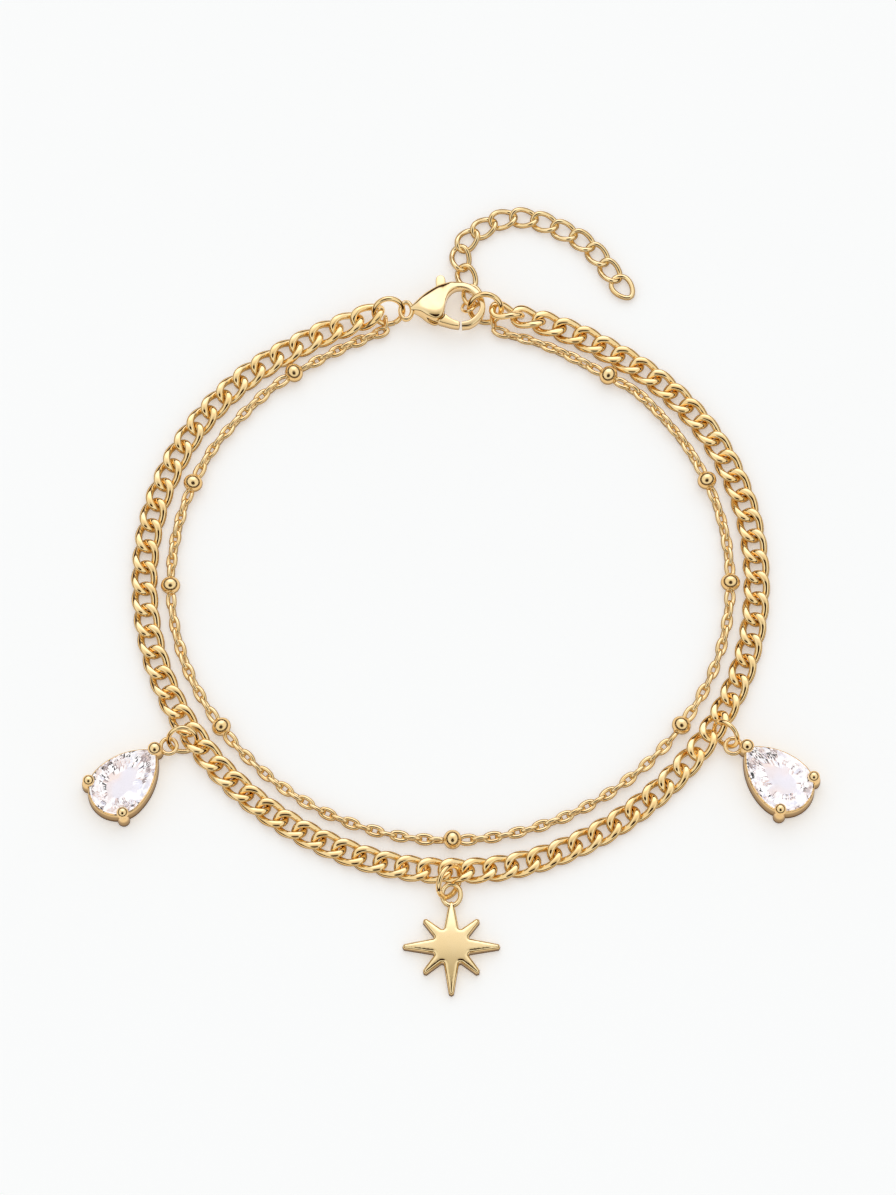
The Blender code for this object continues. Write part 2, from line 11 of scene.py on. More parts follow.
import bmesh
import bpy
import numpy as np
from mathutils import Matrix, Vector
from mathutils.geometry import delaunay_2d_cdt


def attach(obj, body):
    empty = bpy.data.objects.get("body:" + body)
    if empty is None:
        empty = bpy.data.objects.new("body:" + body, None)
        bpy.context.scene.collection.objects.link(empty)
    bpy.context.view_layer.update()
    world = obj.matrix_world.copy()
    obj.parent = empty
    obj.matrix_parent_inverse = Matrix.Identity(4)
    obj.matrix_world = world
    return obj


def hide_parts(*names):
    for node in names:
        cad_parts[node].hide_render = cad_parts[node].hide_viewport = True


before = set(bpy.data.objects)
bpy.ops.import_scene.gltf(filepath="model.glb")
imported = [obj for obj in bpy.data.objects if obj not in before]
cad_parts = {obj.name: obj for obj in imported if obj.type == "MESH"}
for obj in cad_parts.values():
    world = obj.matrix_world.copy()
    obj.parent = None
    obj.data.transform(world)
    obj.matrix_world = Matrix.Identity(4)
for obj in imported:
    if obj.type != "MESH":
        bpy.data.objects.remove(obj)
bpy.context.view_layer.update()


# %% [markdown]
# ## Units and places
# Jewellery is measured in millimetres and Blender works in metres, so the tables are in
# millimetres and MM turns them over at the last moment. They were drawn about the middle of the
# wrist hollow, and ORIGIN is the step from there to the frame's zero, the middle of the whole
# piece. A place is a point, a heading, a pitch that raises the far end and a roll about the length.

# %% Units and places
MM = 0.001
ORIGIN = (0.33, 0.06)


def place(x, y, z, heading=0.0, pitch=0.0, roll=0.0):
    """A 4 x 4 placement in millimetres, in the frame's own axes."""
    turn = (Matrix.Rotation(math.radians(heading), 4, "Z")
            @ Matrix.Rotation(math.radians(-pitch), 4, "Y")
            @ Matrix.Rotation(math.radians(roll), 4, "X"))
    return np.array(Matrix.Translation((x - ORIGIN[0], y - ORIGIN[1], z)) @ turn)


def moved(points, placement):
    """Points of any array shape carried by a placement."""
    return points @ placement[:3, :3].T + placement[:3, 3]


def add_object(name, data):
    """A new object in the scene."""
    made = bpy.data.objects.new(name, data)
    bpy.context.scene.collection.objects.link(made)
    return made


# %% [markdown]
# ## The camera
# The bracelet was photographed from almost straight above, about 72 degrees over the table, with
# a long lens from a good distance. A wide lens close by would make the near star bigger than the
# clasp. The camera is made early, because everything after it is judged through it.

# %% The camera
CAMERA_ELEVATION = 72.0
CAMERA_DISTANCE = 600.0
CAMERA_LENS = 180.75

raised = math.radians(CAMERA_ELEVATION)
to_camera = Vector((0, -math.cos(raised), math.sin(raised)))
camera_data = bpy.data.cameras.new("camera")
camera_data.lens = CAMERA_LENS
camera_data.sensor_width = 36.0
camera_data.clip_start = 0.05
camera = add_object("camera", camera_data)
camera.location = Vector((-ORIGIN[0] * MM, -ORIGIN[1] * MM, 0)) + to_camera * CAMERA_DISTANCE * MM
camera.rotation_euler = (-to_camera).to_track_quat("-Z", "Y").to_euler()
bpy.context.scene.camera = camera
print("camera at", [round(c, 4) for c in camera.location])

# %% [markdown]
# ## Small helpers for node trees
# Every material and the studio are node trees. A few helpers keep the cells short: they make a
# node and feed its inputs with links or plain values, lay one colour over another through a mask,
# and read a level through stops. The colour mix node has three sets of sockets, so its colour ones
# are found by their kind.

# %% Node helpers
def connect(tree, socket, value):
    """Links a socket, or sets a plain value on it."""
    if isinstance(value, bpy.types.NodeSocket):
        tree.links.new(value, socket)
    else:
        socket.default_value = value


def feed(tree, node, *inputs, **values):
    """Sets a node's properties and its inputs by name, or its inputs in order."""
    for key, value in values.items():
        if hasattr(node, key):
            setattr(node, key, value)
        else:
            connect(tree, node.inputs[key.replace("_", " ")], value)
    for socket, value in zip(node.inputs, inputs):
        connect(tree, socket, value)
    return node


def new_node(tree, kind, *inputs, **values):
    return feed(tree, tree.nodes.new(kind), *inputs, **values)


def maths(tree, operation, *inputs):
    return new_node(tree, "ShaderNodeMath", *inputs, operation=operation).outputs["Value"]


def overlay(tree, mask, under, over):
    """The colour under, with the colour over laid on it where the mask is 1."""
    mix = new_node(tree, "ShaderNodeMix", mask, data_type="RGBA")
    colours = [socket for socket in mix.inputs if socket.type == "RGBA"]
    connect(tree, colours[0], under)
    connect(tree, colours[1], over)
    return next(socket for socket in mix.outputs if socket.type == "RGBA")


def coloured(tree, value, stops, interpolation):
    """A colour read at a value from 0 to 1 through stops of position and colour."""
    ramp = new_node(tree, "ShaderNodeValToRGB", value)
    ramp.color_ramp.interpolation = interpolation
    elements = ramp.color_ramp.elements
    for position, _ in stops[1:-1]:
        elements.new(position)
    for element, (position, colour) in zip(elements, stops):
        element.position = position
        element.color = (*colour, 1.0)
    return ramp.outputs["Color"]


def stepped(tree, value, stops):
    """A level read at a value from 0 to 1 through smooth stops of position and level."""
    return coloured(tree, value, [(position, [level] * 3) for position, level in stops], "EASE")


def new_material(name, **values):
    """A material, its node tree and its shader with plain values on its own sockets."""
    made = bpy.data.materials.new(name)
    made.use_nodes = True
    shader = made.node_tree.nodes["Principled BSDF"]
    return made, made.node_tree, feed(made.node_tree, shader, **values)


def new_group(name, inputs, outputs):
    """A node group, what it is given, and the node that hands out its results."""
    group = bpy.data.node_groups.new(name, "ShaderNodeTree")
    for label, kind, default in inputs:
        socket = group.interface.new_socket(name=label, in_out="INPUT", socket_type=kind)
        socket.default_value = default
    for label, kind in outputs:
        group.interface.new_socket(name=label, in_out="OUTPUT", socket_type=kind)
    handed = new_node(group, "NodeGroupOutput")
    return group, new_node(group, "NodeGroupInput").outputs, handed


# %% [markdown]
# ## The studio
# Polished gold shows nothing but its surroundings, so the studio is half of the material. A
# jeweller shoots in a white tent: light from all round, with a dark hole where the lens looks
# in and a dark seam low down where the tent meets the table. Those two give the dark spot on
# every ball and the fine dark lines along every wire. The hole is wide and reaches from the lens
# towards the front, not up to straight overhead, which would turn the star's flat face black.
# The tent is dimmer overhead and has a cool soft box behind the bracelet, which turns into cream
# highlights on gold. Cards could stand for all of these, but a world made of directions is
# simpler, has no edges and costs nothing to render. Two kinds of rays get one even tone instead:
# the camera's own, which see a plain backdrop, and those that light matt surfaces, so that the
# shadows stay soft and faint.

# %% The tent
TENT = (0.97, 0.95, 0.94, 1.0)
PATCHES = (
    # name, colour, direction, how much shows by how closely one looks that way
    ("dim overhead", (0.60, 0.555, 0.50, 1.0), (0, 0, 1),
     ((0.945, 0.0), (0.978, 0.30), (1.0, 1.0))),
    ("soft box", (1.80, 1.72, 1.95, 1.0), (0.0, 0.77, 0.64),
     ((0.85, 0.0), (0.924, 0.16), (0.975, 0.9), (1.0, 1.0))),
    ("seam", (0.045, 0.016, 0.002, 1.0), (0, 0, 1),
     ((0.49, 0.0), (0.505, 1.0), (0.65, 1.0), (0.72, 0.0))),
    ("lens hole", (0.030, 0.012, 0.003, 1.0), (0, -0.407, 0.914),
     ((0.951, 0.0), (0.970, 1.0), (1.0, 1.0))),
)
FILL = (0.525, 0.580, 0.624, 1.0)
BACKDROP = (0.955, 0.955, 0.96, 1.0)

world = bpy.data.worlds.new("tent")
bpy.context.scene.world = world
world.use_nodes = True
tent = world.node_tree
tent.nodes.clear()
direction = new_node(tent, "ShaderNodeTexCoord").outputs["Generated"]


def leaning(towards):
    """How far a direction leans towards a given one: 0 is opposite and 1 is the same."""
    dot = new_node(tent, "ShaderNodeVectorMath", direction, Vector(towards).normalized(),
                   operation="DOT_PRODUCT")
    return maths(tent, "MULTIPLY_ADD", dot.outputs["Value"], 0.5, 0.5)


light = TENT
for name, colour, towards, stops in PATCHES:
    light = overlay(tent, stepped(tent, leaning(towards), stops), light, colour)
ray = new_node(tent, "ShaderNodeLightPath")
light = overlay(tent, ray.outputs["Is Diffuse Ray"], light, FILL)
light = overlay(tent, ray.outputs["Is Camera Ray"], light, BACKDROP)
shine = new_node(tent, "ShaderNodeBackground", Color=light)
new_node(tent, "ShaderNodeOutputWorld", Surface=shine.outputs["Background"])
print("tent nodes:", len(tent.nodes))

# %% The sun and the colour response
SUN_STRENGTH = 0.42
SUN_WIDTH = 62.0
SUN_COLOUR = (0.98, 0.99, 1.0)
SUN_FROM = (0.05, 0.50, 0.80)

sun_data = bpy.data.lights.new("soft sun", "SUN")
sun_data.energy = SUN_STRENGTH
sun_data.angle = math.radians(SUN_WIDTH)
sun_data.color = SUN_COLOUR
sun = add_object("soft sun", sun_data)
sun.rotation_euler = Vector(SUN_FROM).to_track_quat("Z", "Y").to_euler()
sun.visible_glossy = False
bpy.context.scene.view_settings.view_transform = "Standard"
bpy.context.scene.view_settings.look = "None"
print("sun:", SUN_STRENGTH, "strong and", SUN_WIDTH, "degrees wide")

# %% [markdown]
# ## The table
# The bracelet lies on a plain white sheet. It is matt, so it only takes the soft shadows, and it
# has a breath of unevenness that keeps the large white area from looking painted. It also glows a
# little, warm: that glow is painted light, which lifts and warms the shadows in place of light
# thrown onto the paper by the gold. What the metal sees of the paper is painted as well: rays that
# come off the metal get a glowing colour of the paper by how far they went, a painted dark brown
# shade close by, where the links would shade it, and a painted warm tone further off. That painted
# shade is what draws a brown line along the lower side of every wire.

# %% The table
TABLE_SIZE = 3.0
TABLE_DROP = 0.00002
PAPER_TOOTH = 9.0
PAPER_TONES = ((0.925, 0.930, 0.935, 1.0), (0.945, 0.950, 0.955, 1.0))
# the paper's warm glow is painted light: it lifts and warms the shadows, in place of light the gold
# throws onto the paper
PAPER_PAINTED_BOUNCE = (1.0, 0.87, 0.74, 1.0)
PAPER_PAINTED_BOUNCE_STRENGTH = 0.36
# the paper as the metal sees it is a painted reflection: a glowing dark brown shade near the links,
# a warm tone further off
MIRRORED_PAINTED_SHADE = (0.10, 0.045, 0.012, 1.0)
MIRRORED_PAINTED_PAPER = (0.95, 0.82, 0.70, 1.0)
MIRRORED_SHADE_REACH = 0.0026
MIRRORED_SHADE_STOPS = ((0.0, 0.0), (0.40, 0.35), (1.0, 1.0))

half, low = TABLE_SIZE / 2, -TABLE_DROP
sheet_mesh = bpy.data.meshes.new("table_sheet")
sheet_mesh.from_pydata([(-half, -half, low), (half, -half, low), (half, half, low),
                        (-half, half, low)], [], [(0, 1, 2, 3)])
sheet = add_object("table_sheet", sheet_mesh)
# the paper glows with the painted warm light
paper, tree, shader = new_material(
    "white paper", Roughness=1.0, Specular_IOR_Level=0.0, Emission_Color=PAPER_PAINTED_BOUNCE,
    Emission_Strength=PAPER_PAINTED_BOUNCE_STRENGTH)
tooth = new_node(tree, "ShaderNodeTexNoise", Scale=PAPER_TOOTH, Detail=3.0,
                 Vector=new_node(tree, "ShaderNodeTexCoord").outputs["Object"])
feed(tree, shader, Base_Color=overlay(tree, tooth.outputs["Fac"], *PAPER_TONES))
# rays off the metal get the painted reflection of the paper, with painted shade near the links, by
# how far they went
ray = new_node(tree, "ShaderNodeLightPath")
reach = maths(tree, "DIVIDE", ray.outputs["Ray Length"], MIRRORED_SHADE_REACH)
paper_painted_reflection = overlay(tree, stepped(tree, reach, MIRRORED_SHADE_STOPS), MIRRORED_PAINTED_SHADE, MIRRORED_PAINTED_PAPER)
paper_painted_reflection = new_node(tree, "ShaderNodeEmission", Color=paper_painted_reflection)
either = new_node(tree, "ShaderNodeMixShader", ray.outputs["Is Glossy Ray"],
                  shader.outputs["BSDF"], paper_painted_reflection.outputs["Emission"])
feed(tree, tree.nodes["Material Output"], Surface=either.outputs["Shader"])
sheet_mesh.materials.append(paper)
print("table:", TABLE_SIZE, "m wide,", TABLE_DROP * 1000, "mm below the bracelet")

# %% [markdown]
# ## Polished gold
# All the metal is the same yellow plating, but no two parts are polished alike: castings are
# smooth and a little satin, drawn wire is brighter, and the tiny links of the cable chain are
# never buffed one by one. What they share is made once as a node group: slow drifts of tone in
# the plating, fine hairlines from the buffing wheel, and a faint waviness of the surface. Each
# material places the group with its own tones, roughness and scale. The group only hands out
# what changes over the surface; the metal itself stays in each material.

# %% The plating group
TONE_STOPS = ((0.35, 0.0), (0.70, 1.0))
HAIRLINE_STRETCH = (1.0, 9.0, 1.0)
HAIRLINE_RANGE = (0.35, 0.65)
HAIRLINE_RELIEF = 0.25


def plating_group():
    """Tone, roughness and relief of plated and buffed metal."""
    group, given, handed = new_group("buffed plating", (
        ("Tone", "NodeSocketColor", (0.9, 0.7, 0.4, 1)),
        ("Deep Tone", "NodeSocketColor", (0.8, 0.55, 0.25, 1)),
        ("Smooth", "NodeSocketFloat", 0.08),
        ("Dull", "NodeSocketFloat", 0.18),
        ("Scale", "NodeSocketFloat", 900.0),
    ), (("Color", "NodeSocketColor"), ("Roughness", "NodeSocketFloat"),
        ("Height", "NodeSocketFloat")))
    where = new_node(group, "ShaderNodeTexCoord").outputs["Object"]
    stretched = new_node(group, "ShaderNodeVectorMath", where, HAIRLINE_STRETCH,
                         operation="MULTIPLY").outputs["Vector"]
    drift = new_node(group, "ShaderNodeTexNoise", Vector=where, Scale=given["Scale"],
                     Detail=3.0, Roughness=0.6).outputs["Fac"]
    hairline = new_node(group, "ShaderNodeTexNoise", Vector=stretched, Scale=given["Scale"],
                        Detail=5.0, Roughness=0.7).outputs["Fac"]
    rough = new_node(group, "ShaderNodeMapRange", hairline, *HAIRLINE_RANGE, given["Smooth"],
                     given["Dull"])
    feed(group, handed, Roughness=rough.outputs["Result"],
         Color=overlay(group, stepped(group, drift, TONE_STOPS), given["Tone"], given["Deep Tone"]),
         Height=maths(group, "MULTIPLY_ADD", hairline, HAIRLINE_RELIEF, drift))
    return group


plating = plating_group()
print("plating group:", len(plating.nodes), "nodes")

# %% [markdown]
# A gold's colour is the colour of its reflections, so the tones are a warm yellow well below white.
# The tones also differ a little from part to part, though the plating is one: that is painted
# light, darker and paler copies of the one gold set to how bright each part comes out, the clasp
# darkest. A thin clear coat stands for the lacquer over the plating: it adds the near-white glints
# that bare gold can't give.

# %% The gold finishes
# the tones per part are partly painted light: darker and paler copies of one plating, set to how
# bright each part looks
GOLDS = {
    # finish: tone, deep tone, smooth, dull, scale per metre, relief, coat
    "curb_gold": ((0.95, 0.735, 0.38), (0.92, 0.66, 0.29), 0.05, 0.10, 500.0, 0.03, 0.10),
    "cable_gold": ((0.95, 0.745, 0.40), (0.90, 0.65, 0.30), 0.07, 0.14, 900.0, 0.05, 0.10),
    "bead_gold": ((0.95, 0.735, 0.38), (0.91, 0.66, 0.30), 0.16, 0.21, 700.0, 0.03, 0.10),
    "extender_gold": ((0.95, 0.745, 0.40), (0.91, 0.67, 0.31), 0.06, 0.12, 600.0, 0.03, 0.10),
    "ring_gold": ((0.95, 0.735, 0.38), (0.91, 0.66, 0.30), 0.05, 0.10, 500.0, 0.03, 0.10),
    "clasp_gold": ((0.90, 0.715, 0.40), (0.87, 0.66, 0.33), 0.06, 0.12, 350.0, 0.02, 0.12),
    "lever_gold": ((0.95, 0.765, 0.43), (0.92, 0.71, 0.36), 0.06, 0.12, 400.0, 0.02, 0.12),
    "star_gold": ((0.95, 0.77, 0.43), (0.93, 0.73, 0.38), 0.08, 0.14, 300.0, 0.02, 0.12),
    "setting_gold": ((0.93, 0.725, 0.39), (0.89, 0.66, 0.32), 0.12, 0.18, 500.0, 0.02, 0.12),
}
RELIEF_DEPTH = 0.00002
COAT_ROUGHNESS = 0.06


def gold_material(finish):
    """The plating group with one finish's own tones, roughness and relief."""
    tone, deep_tone, smooth, dull, scale, relief, coat = GOLDS[finish]
    made, tree, shader = new_material(finish, Metallic=1.0, Coat_Weight=coat,
                                      Coat_Roughness=COAT_ROUGHNESS)
    surface = new_node(tree, "ShaderNodeGroup", node_tree=plating, Tone=(*tone, 1.0),
                       Deep_Tone=(*deep_tone, 1.0), Smooth=smooth, Dull=dull,
                       Scale=scale).outputs
    bump = new_node(tree, "ShaderNodeBump", Strength=relief, Distance=RELIEF_DEPTH,
                    Height=surface["Height"])
    feed(tree, shader, Base_Color=surface["Color"], Roughness=surface["Roughness"],
         Normal=bump.outputs["Normal"])
    return made


golds = {finish: gold_material(finish) for finish in GOLDS}
print("gold finishes:", ", ".join(golds))

# %% [markdown]
# ## From points to pieces
# Wire is the raw material of nearly everything here: a link, a ring, an eye. It could be a
# Blender curve with a bevel, but a chain of eighty links is lighter and easier to shape as one
# mesh whose points come from a formula. A Shape gathers grids of points, and make_piece turns it
# into one object that rides on its CAD body and stands for its CAD node.

# %% Points to pieces
class Shape:
    """Points in millimetres and faces, gathered before they become one mesh."""

    def __init__(self):
        self.points = []
        self.faces = []
        self.kinds = []
        self.count = 0

    def add(self, points, faces, kind=0):
        points = np.asarray(points, float).reshape(-1, 3)
        self.faces.extend(tuple(self.count + corner for corner in face) for face in faces)
        self.kinds.extend([kind] * len(faces))
        self.points.append(points)
        self.count += len(points)
        return self

    def add_skin(self, skin, where, looped=True, capped=True):
        """A skin over rows of points. A looped one closes on itself. Others are closed at the
        first row, and at the last one too if they are capped."""
        rows, sides = skin.shape[:2]
        faces = []
        for row in range(rows if looped else rows - 1):
            here, there = row * sides, (row + 1) % rows * sides
            for side in range(sides):
                step = (side + 1) % sides
                faces.append((here + side, there + side, there + step, here + step))
        if not looped:
            faces.append(tuple(range(sides)))
            if capped:
                faces.append(tuple(range((rows - 1) * sides, rows * sides)))
        return self.add(moved(skin, where), faces)


def round_turns(count, shift=0.0):
    """Even angles all the way round."""
    return 2 * np.pi * (np.arange(count) + shift) / count


def arc_points(radius, turns):
    """Points at a radius, by their angles."""
    return np.stack([radius * np.cos(turns), radius * np.sin(turns), 0 * turns], axis=1)


def unit(vectors):
    """The same directions, each of length 1."""
    return vectors / np.linalg.norm(vectors, axis=-1, keepdims=True)


def wire_skin(middle, width, height, sides, looped=True):
    """Rings of points round a wire's middle line. The wire is never vertical."""
    middle = np.asarray(middle, float)
    along = np.roll(middle, -1, 0) - np.roll(middle, 1, 0)
    if not looped:
        along[0] = middle[1] - middle[0]
        along[-1] = middle[-1] - middle[-2]
    along = unit(along)
    across = unit(np.cross(along, (0, 0, 1)))
    upward = np.cross(across, along)
    turn = round_turns(sides, 0.5)
    return (middle[:, None] + across[:, None] * (width / 2 * np.cos(turn))[None, :, None]
            + upward[:, None] * (height / 2 * np.sin(turn))[None, :, None])


def turn_outwards(mesh, weld=0.0):
    """Joins points that are closer than a distance, and turns all faces outwards."""
    work = bmesh.new()
    work.from_mesh(mesh)
    if weld:
        bmesh.ops.remove_doubles(work, verts=work.verts, dist=weld * MM)
        print("open edges after joining:", sum(edge.is_boundary for edge in work.edges))
    bmesh.ops.recalc_face_normals(work, faces=work.faces)
    work.to_mesh(mesh)
    work.free()


def make_solid(name, shape, materials=()):
    """One object from a shape."""
    mesh = bpy.data.meshes.new(name)
    mesh.from_pydata(np.concatenate(shape.points) * MM, [], shape.faces)
    for material in materials:
        mesh.materials.append(material)
    mesh.polygons.foreach_set("material_index", shape.kinds)
    turn_outwards(mesh)
    return add_object(name, mesh)


def smooth_over(piece, sharp):
    """Smooth shading, but for edges sharper than an angle."""
    piece.data.shade_smooth()
    piece.data.set_sharp_from_angle(angle=math.radians(sharp))
    triangles = sum(len(face.vertices) - 2 for face in piece.data.polygons)
    print(f"{piece.name}: {triangles} triangles")


def make_piece(name, shape, finish, node, body="bracelet", sharp=40.0, materials=None):
    """One object of the bracelet, riding on its body in place of its CAD node."""
    made = make_solid(name, shape, materials or [golds[finish]])
    smooth_over(made, sharp)
    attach(made, body)
    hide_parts(node)
    return made


# %% [markdown]
# ## A route for a chain
# A chain's links follow a smooth line on the table. The line comes from a short list of knots
# with a smooth curve through them, measured along its length, so that links can be set at even
# steps. Even steps of the curve's own parameter would bunch the links at the bends.

# %% Routes
ROUTE_STEPS = 12
HEADING_STEP = 0.2


def smoothed(table, steps, closed=False):
    """Rows read along a smooth curve through the rows of a table."""
    table = np.array(table, float)
    if closed:
        table = np.vstack([table[-1:], table, table[:2]])
    else:
        table = np.vstack([2 * table[0] - table[1], table, 2 * table[-1] - table[-2]])
    share = (np.arange(steps) / steps)[:, None]
    rows = []
    for before, start, end, after in zip(table, table[1:], table[2:], table[3:]):
        line, leave, arrive = end - start, (end - before) / 2, (after - start) / 2
        rows.append(start + leave * share + (3 * line - 2 * leave - arrive) * share ** 2
                    + (leave + arrive - 2 * line) * share ** 3)
    return np.vstack(rows if closed else rows + [table[-2:-1]])


class Route:
    """A smooth flat curve through knots, read by the distance from its start."""

    def __init__(self, knots):
        self.points = smoothed(knots, ROUTE_STEPS)
        steps = np.linalg.norm(np.diff(self.points, axis=0), axis=1)
        self.distances = np.concatenate([[0.0], np.cumsum(steps)])
        self.length = self.distances[-1]

    def at(self, distance):
        """The point at a distance, and the heading of the line there in degrees."""
        here, ahead, behind = (
            np.array([np.interp(distance + step, self.distances, self.points[:, axis])
                      for axis in (0, 1)]) for step in (0.0, HEADING_STEP, -HEADING_STEP))
        run = ahead - behind
        return here[0], here[1], math.degrees(math.atan2(run[1], run[0]))

    def place(self, distance, z, pitch=0.0, roll=0.0):
        """A place at a distance and a height, headed along the line."""
        x, y, heading = self.at(distance)
        return place(x, y, z, heading, pitch, roll)


# %% [markdown]
# ## Curb links
# A curb link starts as an oval of round wire. It is twisted, so that two opposite quarters rise
# and the other two sink, and then the whole chain is ground flat above and below. That is why it
# lies flat and why each link has a broad bright face with a crisp edge. Here the twist is a wave
# on the height of the oval, and the grinding holds the height back to the finished thickness. A
# soft hold keeps a little roundness, as buffing does.

# %% The curb link
CURB_WIRE = 0.75
CURB_LENGTH = 3.75
CURB_WIDTH = 2.7
CURB_TWIST = 0.375
CURB_WIRE_HEIGHT = 0.66
CURB_HEIGHT = 1.27
CURB_MIDDLE = 0.645


def oval_line(length, width, wire, twist=0.0, steps=48, point=0.0):
    """A link's middle line. Twist raises and sinks its quarters, point narrows its far end."""
    turn = round_turns(steps)
    across = (width - wire) / 2 * np.sin(turn) * (1 - point * np.cos(turn))
    return np.stack([(length - wire) / 2 * np.cos(turn), across, -twist * np.sin(2 * turn)], axis=1)


def oval_skin(length, width, wire, sides, **line):
    """The skin of an oval of round wire."""
    return wire_skin(oval_line(length, width, wire, **line), wire, wire, sides)


def ground(skin, height, softness=0.16):
    """Heights beyond the finished thickness are held back, as a flat stone would grind them."""
    limit = height / 2
    start = limit - softness
    over = np.maximum(np.abs(skin[..., 2]) - start, 0.0)
    held = start + softness * (1 - np.exp(-over / softness))
    skin = skin.copy()
    skin[..., 2] = np.where(over > 0, np.sign(skin[..., 2]) * held, skin[..., 2])
    return skin


curb_line = oval_line(CURB_LENGTH, CURB_WIDTH, CURB_WIRE, CURB_TWIST)
curb_link = ground(wire_skin(curb_line, CURB_WIRE, CURB_WIRE_HEIGHT, sides=16), CURB_HEIGHT)
print("a curb link:", curb_link.shape[0] * curb_link.shape[1] * 2, "triangles")

# %% [markdown]
# ## The curb strand
# Five links carry something: the two jump rings at the clasp, the two drops and the star. The
# ring tips its link up a little. The table gives how each carrier lies, and the links beside it
# take up part of its tilt, so that the chain rises and falls in one sweep and no wire runs
# through the next.

# %% The curb strand
CURB_ROUTE = (
    (-7.97, 29.58), (-14.17, 27.10), (-20.80, 22.85), (-26.15, 16.67), (-29.45, 8.96),
    (-30.33, 0.54), (-28.80, -7.68), (-25.12, -14.95), (-19.85, -20.76), (-13.61, -24.97),
    (-6.79, -27.64), (0.39, -28.61), (7.59, -27.72), (14.41, -24.99), (20.55, -20.65),
    (25.73, -14.84), (29.37, -7.62), (30.84, 0.54), (29.96, 8.87), (26.71, 16.52),
    (21.37, 22.60), (14.81, 26.85), (10.40, 28.75), (5.66, 29.96),
)
CURB_CARRIERS = (
    # name, distance along the strand, lift, pitch, roll
    ("left_end", 0.17, 0.785, -13.0, 6.0),
    ("left_drop", 56.4, 0.365, 1.0, -2.0),
    ("star", 86.7, 0.355, 0.0, -7.0),
    ("right_drop", 117.5, 0.585, -3.0, -13.0),
    ("right_end", 174.75, 0.925, 5.0, 45.0),
)
CURB_COUNTS = (24, 13, 13, 25)
CARRIER_SHARE = (0.50, 0.16)

curb_route = Route(CURB_ROUTE)


def curb_place(distance, lift, pitch, roll):
    return curb_route.place(min(distance, curb_route.length), CURB_MIDDLE + lift, pitch, roll)


for name, distance, lift, pitch, roll in CURB_CARRIERS:
    carrier = Shape().add_skin(curb_link, curb_place(distance, lift, pitch, roll))
    make_piece(f"curb_carrier_{name}", carrier, "curb_gold", f"curb_link_{name}")

stretches = zip(CURB_COUNTS, CURB_CARRIERS, CURB_CARRIERS[1:])
for number, (count, before, after) in enumerate(stretches, start=1):
    step = (after[1] - before[1]) / (count + 1)
    links = Shape()
    for index in range(1, count + 1):
        tilt = np.zeros(3)
        for carrier, steps in ((before, index), (after, count + 1 - index)):
            if steps <= len(CARRIER_SHARE):
                tilt += CARRIER_SHARE[steps - 1] * np.array(carrier[2:])
        links.add_skin(curb_link, curb_place(before[1] + index * step, *tilt))
    make_piece(f"curb_links_{number}", links, "curb_gold", f"curb_chain_{number}")
    print(f"stretch {number}: {count} links, one every {step:.3f} mm")

# %% [markdown]
# ## The cable strand
# The inner chain is a plain cable: small flat ovals, each turned a quarter round from the last,
# so that it bends every way. It also rolls over slowly on its way round, so that it looks like
# flat ovals here and like a rope there, and each link hangs a few degrees off. Both rolls come
# from sines of the link's number, which look uneven and are the same in every run. The links
# run on into the balls' holes.

# %% The cable strand
CABLE_ROUTE = (
    (-6.32, 28.25), (-8.50, 27.32), (-10.90, 26.22), (-15.50, 23.60), (-18.97, 20.94),
    (-23.82, 15.27), (-26.82, 8.23), (-27.71, 0.56), (-26.21, -6.94), (-22.70, -13.47),
    (-17.92, -18.70), (-12.26, -22.49), (-6.05, -24.72), (0.39, -25.40), (6.80, -24.60),
    (12.96, -22.32), (18.56, -18.55), (23.33, -13.37), (26.77, -6.87), (28.20, 0.56),
    (27.38, 8.17), (24.42, 15.15), (19.75, 20.95), (16.35, 23.20), (11.85, 25.70),
    (8.60, 27.05), (6.20, 27.75), (4.80, 28.30),
)
BALL_DISTANCES = (10.4, 26.1, 37.2, 53.1, 79.8, 106.3, 122.3, 133.4, 148.6)
BALL_LENGTH = 1.8
BALL_DIAMETER = 1.95
CABLE_WIRE = 0.45
CABLE_WIDTH = 1.26
CABLE_STEP = 1.24
CABLE_MIDDLE = 0.66
CABLE_ROLL = 30.0
CABLE_ROLL_RATE = 0.05
CABLE_SWING = 7.0
CABLE_SWING_RATE = 2.4
CABLE_OVERLAP = 0.02

cable_route = Route(CABLE_ROUTE)
starts = [0.0] + [distance + BALL_LENGTH / 2 for distance in BALL_DISTANCES]
ends = [distance - BALL_LENGTH / 2 for distance in BALL_DISTANCES] + [cable_route.length]
total = 0
for number, (start, end) in enumerate(zip(starts, ends), start=1):
    count = round((end - start) / CABLE_STEP)
    step = (end - start) / count
    skin = oval_skin(step + 2 * CABLE_WIRE - CABLE_OVERLAP, CABLE_WIDTH, CABLE_WIRE,
                     sides=10, steps=24)
    links = Shape()
    for index in range(count):
        roll = (90.0 * (index % 2) + CABLE_ROLL * math.sin(CABLE_ROLL_RATE * (index + total)) ** 2
                + CABLE_SWING * math.sin(CABLE_SWING_RATE * (index + total)))
        where = cable_route.place(start + (index + 0.5) * step, CABLE_MIDDLE, roll=roll)
        links.add_skin(skin, where)
    total += count
    make_piece(f"cable_links_{number:02d}", links, "cable_gold", f"satellite_chain_{number:02d}")
print("cable links:", total)

# %% [markdown]
# ## The balls
# Each ball is a hollow bead pressed a little flat along the chain, with a small rolled lip round
# its hole. A sphere would miss the lip and the flattening, so the ball is turned like on a
# lathe: a profile of distances from the chain's line, spun round it.

# %% The balls
def turned(profile, sides):
    """A profile of position along x and radius, spun round the x axis."""
    turn = round_turns(sides)
    profile = np.array(profile, float)
    along = np.repeat(profile[:, :1], sides, axis=1)
    return np.stack([along, profile[:, 1:] * np.cos(turn), profile[:, 1:] * np.sin(turn)], axis=2)


